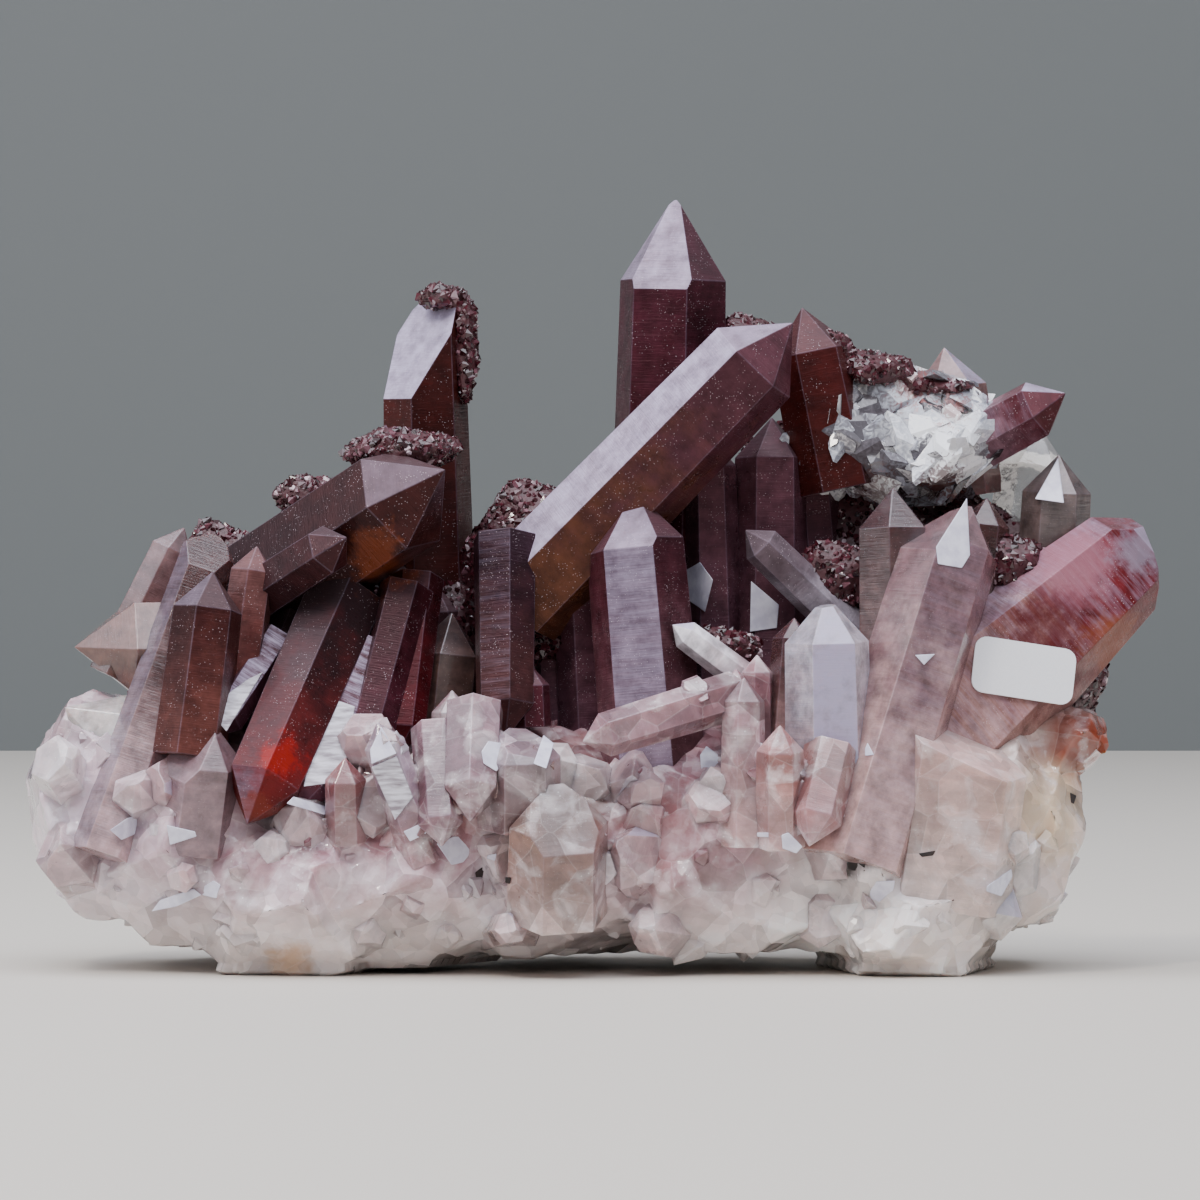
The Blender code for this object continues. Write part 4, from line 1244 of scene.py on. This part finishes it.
# How far a corner may lie before or behind the middle, how thick a plate is, and how wide its bevel.
SLACK, THICKNESS, WORN_EDGE = 8 * MM, 3 * MM, 0.12 * MM


def sight(across, up):
    """The direction in which the eye sees (across, up)."""
    return ((seen(across, up, 0) + CENTRING) * MM - EYE).normalized()


def first_hit(way, grounds):
    """How far off the eye's line first meets the grounds, where that is and how the quartz faces there."""
    found = []
    for ground in grounds:
        hit, place, normal, _ = ground.ray_cast(EYE, way)
        if hit:
            found.append(((place - EYE).length, place, normal))
    return min(found, key=lambda one: one[0]) if found else None


def lay_faces(name, outlines, grounds, proud, material):
    """One mesh of flat plates, each in the plane of the quartz under its middle and a little proud of it."""
    plates = bmesh.new()
    for outline in outlines.values():
        middle = [sum(way) / len(outline) for way in zip(*outline)]
        way = sight(*middle)
        found = first_hit(way, grounds)
        if not found:
            continue
        far, place, normal = found
        if normal.dot(way) > TURNED_AWAY:
            normal = -way
        place = place - way * proud * MM
        front, back = [], []
        for corner in outline:
            ray = sight(*corner)
            reach = (place - EYE).dot(normal) / ray.dot(normal)
            reach = min(max(reach, far - SLACK), far + SLACK)
            front.append(plates.verts.new(EYE + ray * reach))
            back.append(plates.verts.new(EYE + ray * (reach + THICKNESS)))
        count = len(front)
        plates.faces.new(front)
        plates.faces.new(back[::-1])
        for k in range(count):
            plates.faces.new((front[k], back[k], back[(k + 1) % count], front[(k + 1) % count]))
    bmesh.ops.recalc_face_normals(plates, faces=plates.faces[:])
    bmesh.ops.bevel(
        plates, geom=plates.edges[:], offset=WORN_EDGE, segments=1, affect="EDGES", clamp_overlap=True
    )
    mesh = bpy.data.meshes.new(name)
    plates.to_mesh(mesh)
    plates.free()
    mesh.materials.append(material)
    print(name, "plates", len(outlines), "faces", len(mesh.polygons))
    return placed(name, mesh)


def plain_quartz(name, low, high, stretch, rough):
    """Quartz between two tones, drawn out into stripes when stretch isn't one."""
    material, tree = blank_material(name)
    turned = {"Rotation": (0, math.radians(25), 0)}
    cloud = noisy(tree, stretched(tree, on_object(tree), (1 / stretch, 1, stretch), **turned), 420.0, 5.0)
    return finished(material, {
        "Base Color": ramp_of(tree, cloud, (0.35, low), (0.6, high)), "Roughness": rough, "IOR": QUARTZ_IOR,
        "Normal": bumped(tree, cloud, 0.2, 0.0004),
    })


bpy.context.view_layer.update()
grounds = [matrix_body, matrix_crystals, red_crystals, smoky_crystals, small_tips]
# The pale lilac of these plates is a painted reflection of the sky.
SKY_REFLECTION_PAINT = plain_quartz("quartz_face_bright", "#cfccdf", "#e4e3f2", 1, 0.12)
BANDED = plain_quartz("quartz_face_striped", "#8a7f88", "#dfdde8", 2.4, 0.2)
IRON = plain_quartz("dark_iron_spot", "#15100f", "#2c211e", 1, 0.7)
for name, outlines, proud, material in (
    ("sky_faces", FACES, 0.35, SKY_REFLECTION_PAINT),
    ("striped_faces", STRIPED_FACES, 0.35, BANDED),
    ("dark_spots", DARK_SPOTS, 0.2, IRON),
):
    plates = lay_faces(name, outlines, grounds, proud, material)
    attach(plates, "root")

# %% [markdown]
# ## Druse
# A druse is a skin of tiny crystals. Each is a six-sided point about a millimetre across, and there are
# thousands, so Geometry Nodes scatters a few plain pyramids over the crusts, leaning at random about the
# surface's normal, in many sizes.

# %% The crusts under the druse
def dark_rock():
    """Iron-rich rock under the druse, nearly black cherry and rough."""
    material, tree = blank_material("hematite_rock_rough")
    grain = noisy(tree, on_object(tree), 700.0, 6.0)
    return finished(material, {
        "Base Color": ramp_of(tree, grain, (0.0, "#260c10"), (1.0, "#58262e")), "Roughness": 0.45,
        "Normal": bumped(tree, grain, 0.8, 0.0006), "IOR": QUARTZ_IOR,
    })


crust_rock = grow_mesh("crust_rock", CRUSTS, {}, DARK, edge=0.4, grow=-1.0)
remeshed(crust_rock, 1.0)
crust_rock.data.materials.clear()
crust_rock.data.materials.append(dark_rock())
print("crust_rock triangles", triangles(crust_rock))
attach(crust_rock, "root")


def crust_skin(start, end):
    """The part of the crust's surface between two distances to the right, in millimetres."""
    skin = bmesh.new()
    skin.from_mesh(crust_rock.data)
    outside = [f for f in skin.faces if not start * MM <= f.calc_center_median().x < end * MM]
    bmesh.ops.delete(skin, geom=outside, context="FACES")
    mesh = bpy.data.meshes.new("druse_ground")
    skin.to_mesh(mesh)
    skin.free()
    return mesh


# %% The material of the druse
def druse_material():
    """Tiny glassy points, dark cherry to pinkish white, that sparkle."""
    material, tree = blank_material("drusy_quartz_glassy")
    body = ramp_of(
        tree, stored(tree, "shade"),
        (0.0, "#22080c"), (0.5, "#3a121a"), (0.84, "#54242e"), (0.95, "#805a64"), (1.0, "#dccad0"),
    )
    return finished(material, {
        "Base Color": body, "Roughness": 0.18, "IOR": QUARTZ_IOR, "Coat Weight": 0.25, "Coat Roughness": 0.05,
    })


# %% The druse on the crusts
kinds = collection_of("tiny_points", uneven_tips(3, 5, 2.0, only_pyramid=True))
DRUSE = scatter_tree("druse", kinds, druse_material())
DENSE = {"Per square metre": 850000.0, "Smallest": 0.35, "Largest": 1.0, "Bare below": 3.0}
for side, (start, end) in {"left": (-200, -25), "middle": (-25, 32), "right": (32, 200)}.items():
    skin = bpy.data.objects.new("druse_ground", crust_skin(start, end))
    druse = scatter(f"druse_{side}", skin, DRUSE, DENSE)
    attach(druse, "root")
    bpy.data.objects.remove(skin)
cleared(kinds)

# %% [markdown]
# ## The paper label
# A small white stock label with rounded corners is stuck on the great red crystal. It is blank here.
# Label paper is matt under a thin gloss.

# %% The label
def label_paper():
    """White coated label paper."""
    material, tree = blank_material("white_label_paper")
    fibres = noisy(tree, on_object(tree), 2500.0, 5.0)
    return finished(material, {
        "Base Color": blend(tree, fibres, tint("#e6e7ec"), "#f4f4f6"), "Roughness": 0.45,
        "Normal": bumped(tree, fibres, 0.15, 0.0001),
    })


label = frame["nodes"]["paper_label"]
label.data.materials.clear()
label.data.materials.append(label_paper())

# %% [markdown]
# ## Stage, light and camera
# The floor is pale and the wall a middle grey, so that dark and clear crystals both stand out from it.
# A large soft light hangs above, as an open sky would: faces that look up are pale and those that look
# forward stay dark. The world gives the rest, bright overhead and dim at the horizon.

# %% The stage
def stage_plane(name, corners, colour):
    """A plain painted square of the stage."""
    mesh = bpy.data.meshes.new(name)
    mesh.from_pydata(corners, [], [[0, 1, 2, 3]])
    material, _ = blank_material(name + "_paint")
    mesh.materials.append(finished(material, {"Base Color": tint(colour), "Roughness": 0.6}))
    made = placed(name, mesh)
    return made


stage_plane("floor", [(-4, -2, 0), (4, -2, 0), (4, 1.6, 0), (-4, 1.6, 0)], "#cbc5bb")
stage_plane("wall", [(-4, 1.6, 0), (4, 1.6, 0), (4, 1.6, 4), (-4, 1.6, 4)], "#6a6e6d")


LIT_POINT = Vector((0, 0, 0.07))


def soft_light(name, place, size, power, colour):
    """An area light aimed at the middle of the specimen."""
    lamp = bpy.data.lights.new(name, "AREA")
    lamp.shape = "RECTANGLE"
    lamp.size, lamp.size_y = size
    lamp.energy = power
    lamp.color = tint(colour)[:3]
    made = placed(name, lamp)
    made.location = place
    made.rotation_euler = (LIT_POINT - Vector(place)).to_track_quat("-Z", "Y").to_euler()
    return made


soft_light("sky", (-0.2, -0.4, 1.6), (2.6, 1.8), 66, "#f0f3ff")
soft_light("left_fill", (-1.1, -0.2, 0.5), (0.6, 0.6), 3, "#f2f5ff")
soft_light("key", (-0.5, -0.7, 1.1), (0.2, 0.2), 6, "#fff6ea")


SKY_STRENGTH = 0.95


def open_sky():
    """A world that is bright overhead and dim towards the horizon and below it."""
    world = bpy.data.worlds.new("open_sky")
    world.use_nodes = True
    tree = world.node_tree
    way = add(tree, "ShaderNodeSeparateXYZ", {}, {0: add(tree, "ShaderNodeTexCoord").outputs["Generated"]})
    colour = ramp_of(tree, way.outputs["Z"], (0.05, "#4c4a44"), (0.3, "#8d939c"), (0.75, "#f0f4ff"))
    background = tree.nodes["Background"]
    tree.links.new(colour, background.inputs["Color"])
    background.inputs["Strength"].default_value = SKY_STRENGTH
    bpy.context.scene.world = world


open_sky()

# %% The camera
# How much the picture spans, and how far it is moved to the right and up, in millimetres at the specimen.
SPAN, TO_RIGHT, UPWARD = 240.0, 2.6, 0.4
FILM = 36.0
lens = bpy.data.cameras.new("camera")
lens.sensor_width = FILM
lens.lens = FILM * EYE_DISTANCE / SPAN
lens.shift_x = TO_RIGHT / SPAN
lens.shift_y = UPWARD / SPAN
camera = placed("camera", lens)
camera.location = EYE
camera.rotation_euler = (math.radians(90), 0, 0)
bpy.context.scene.camera = camera
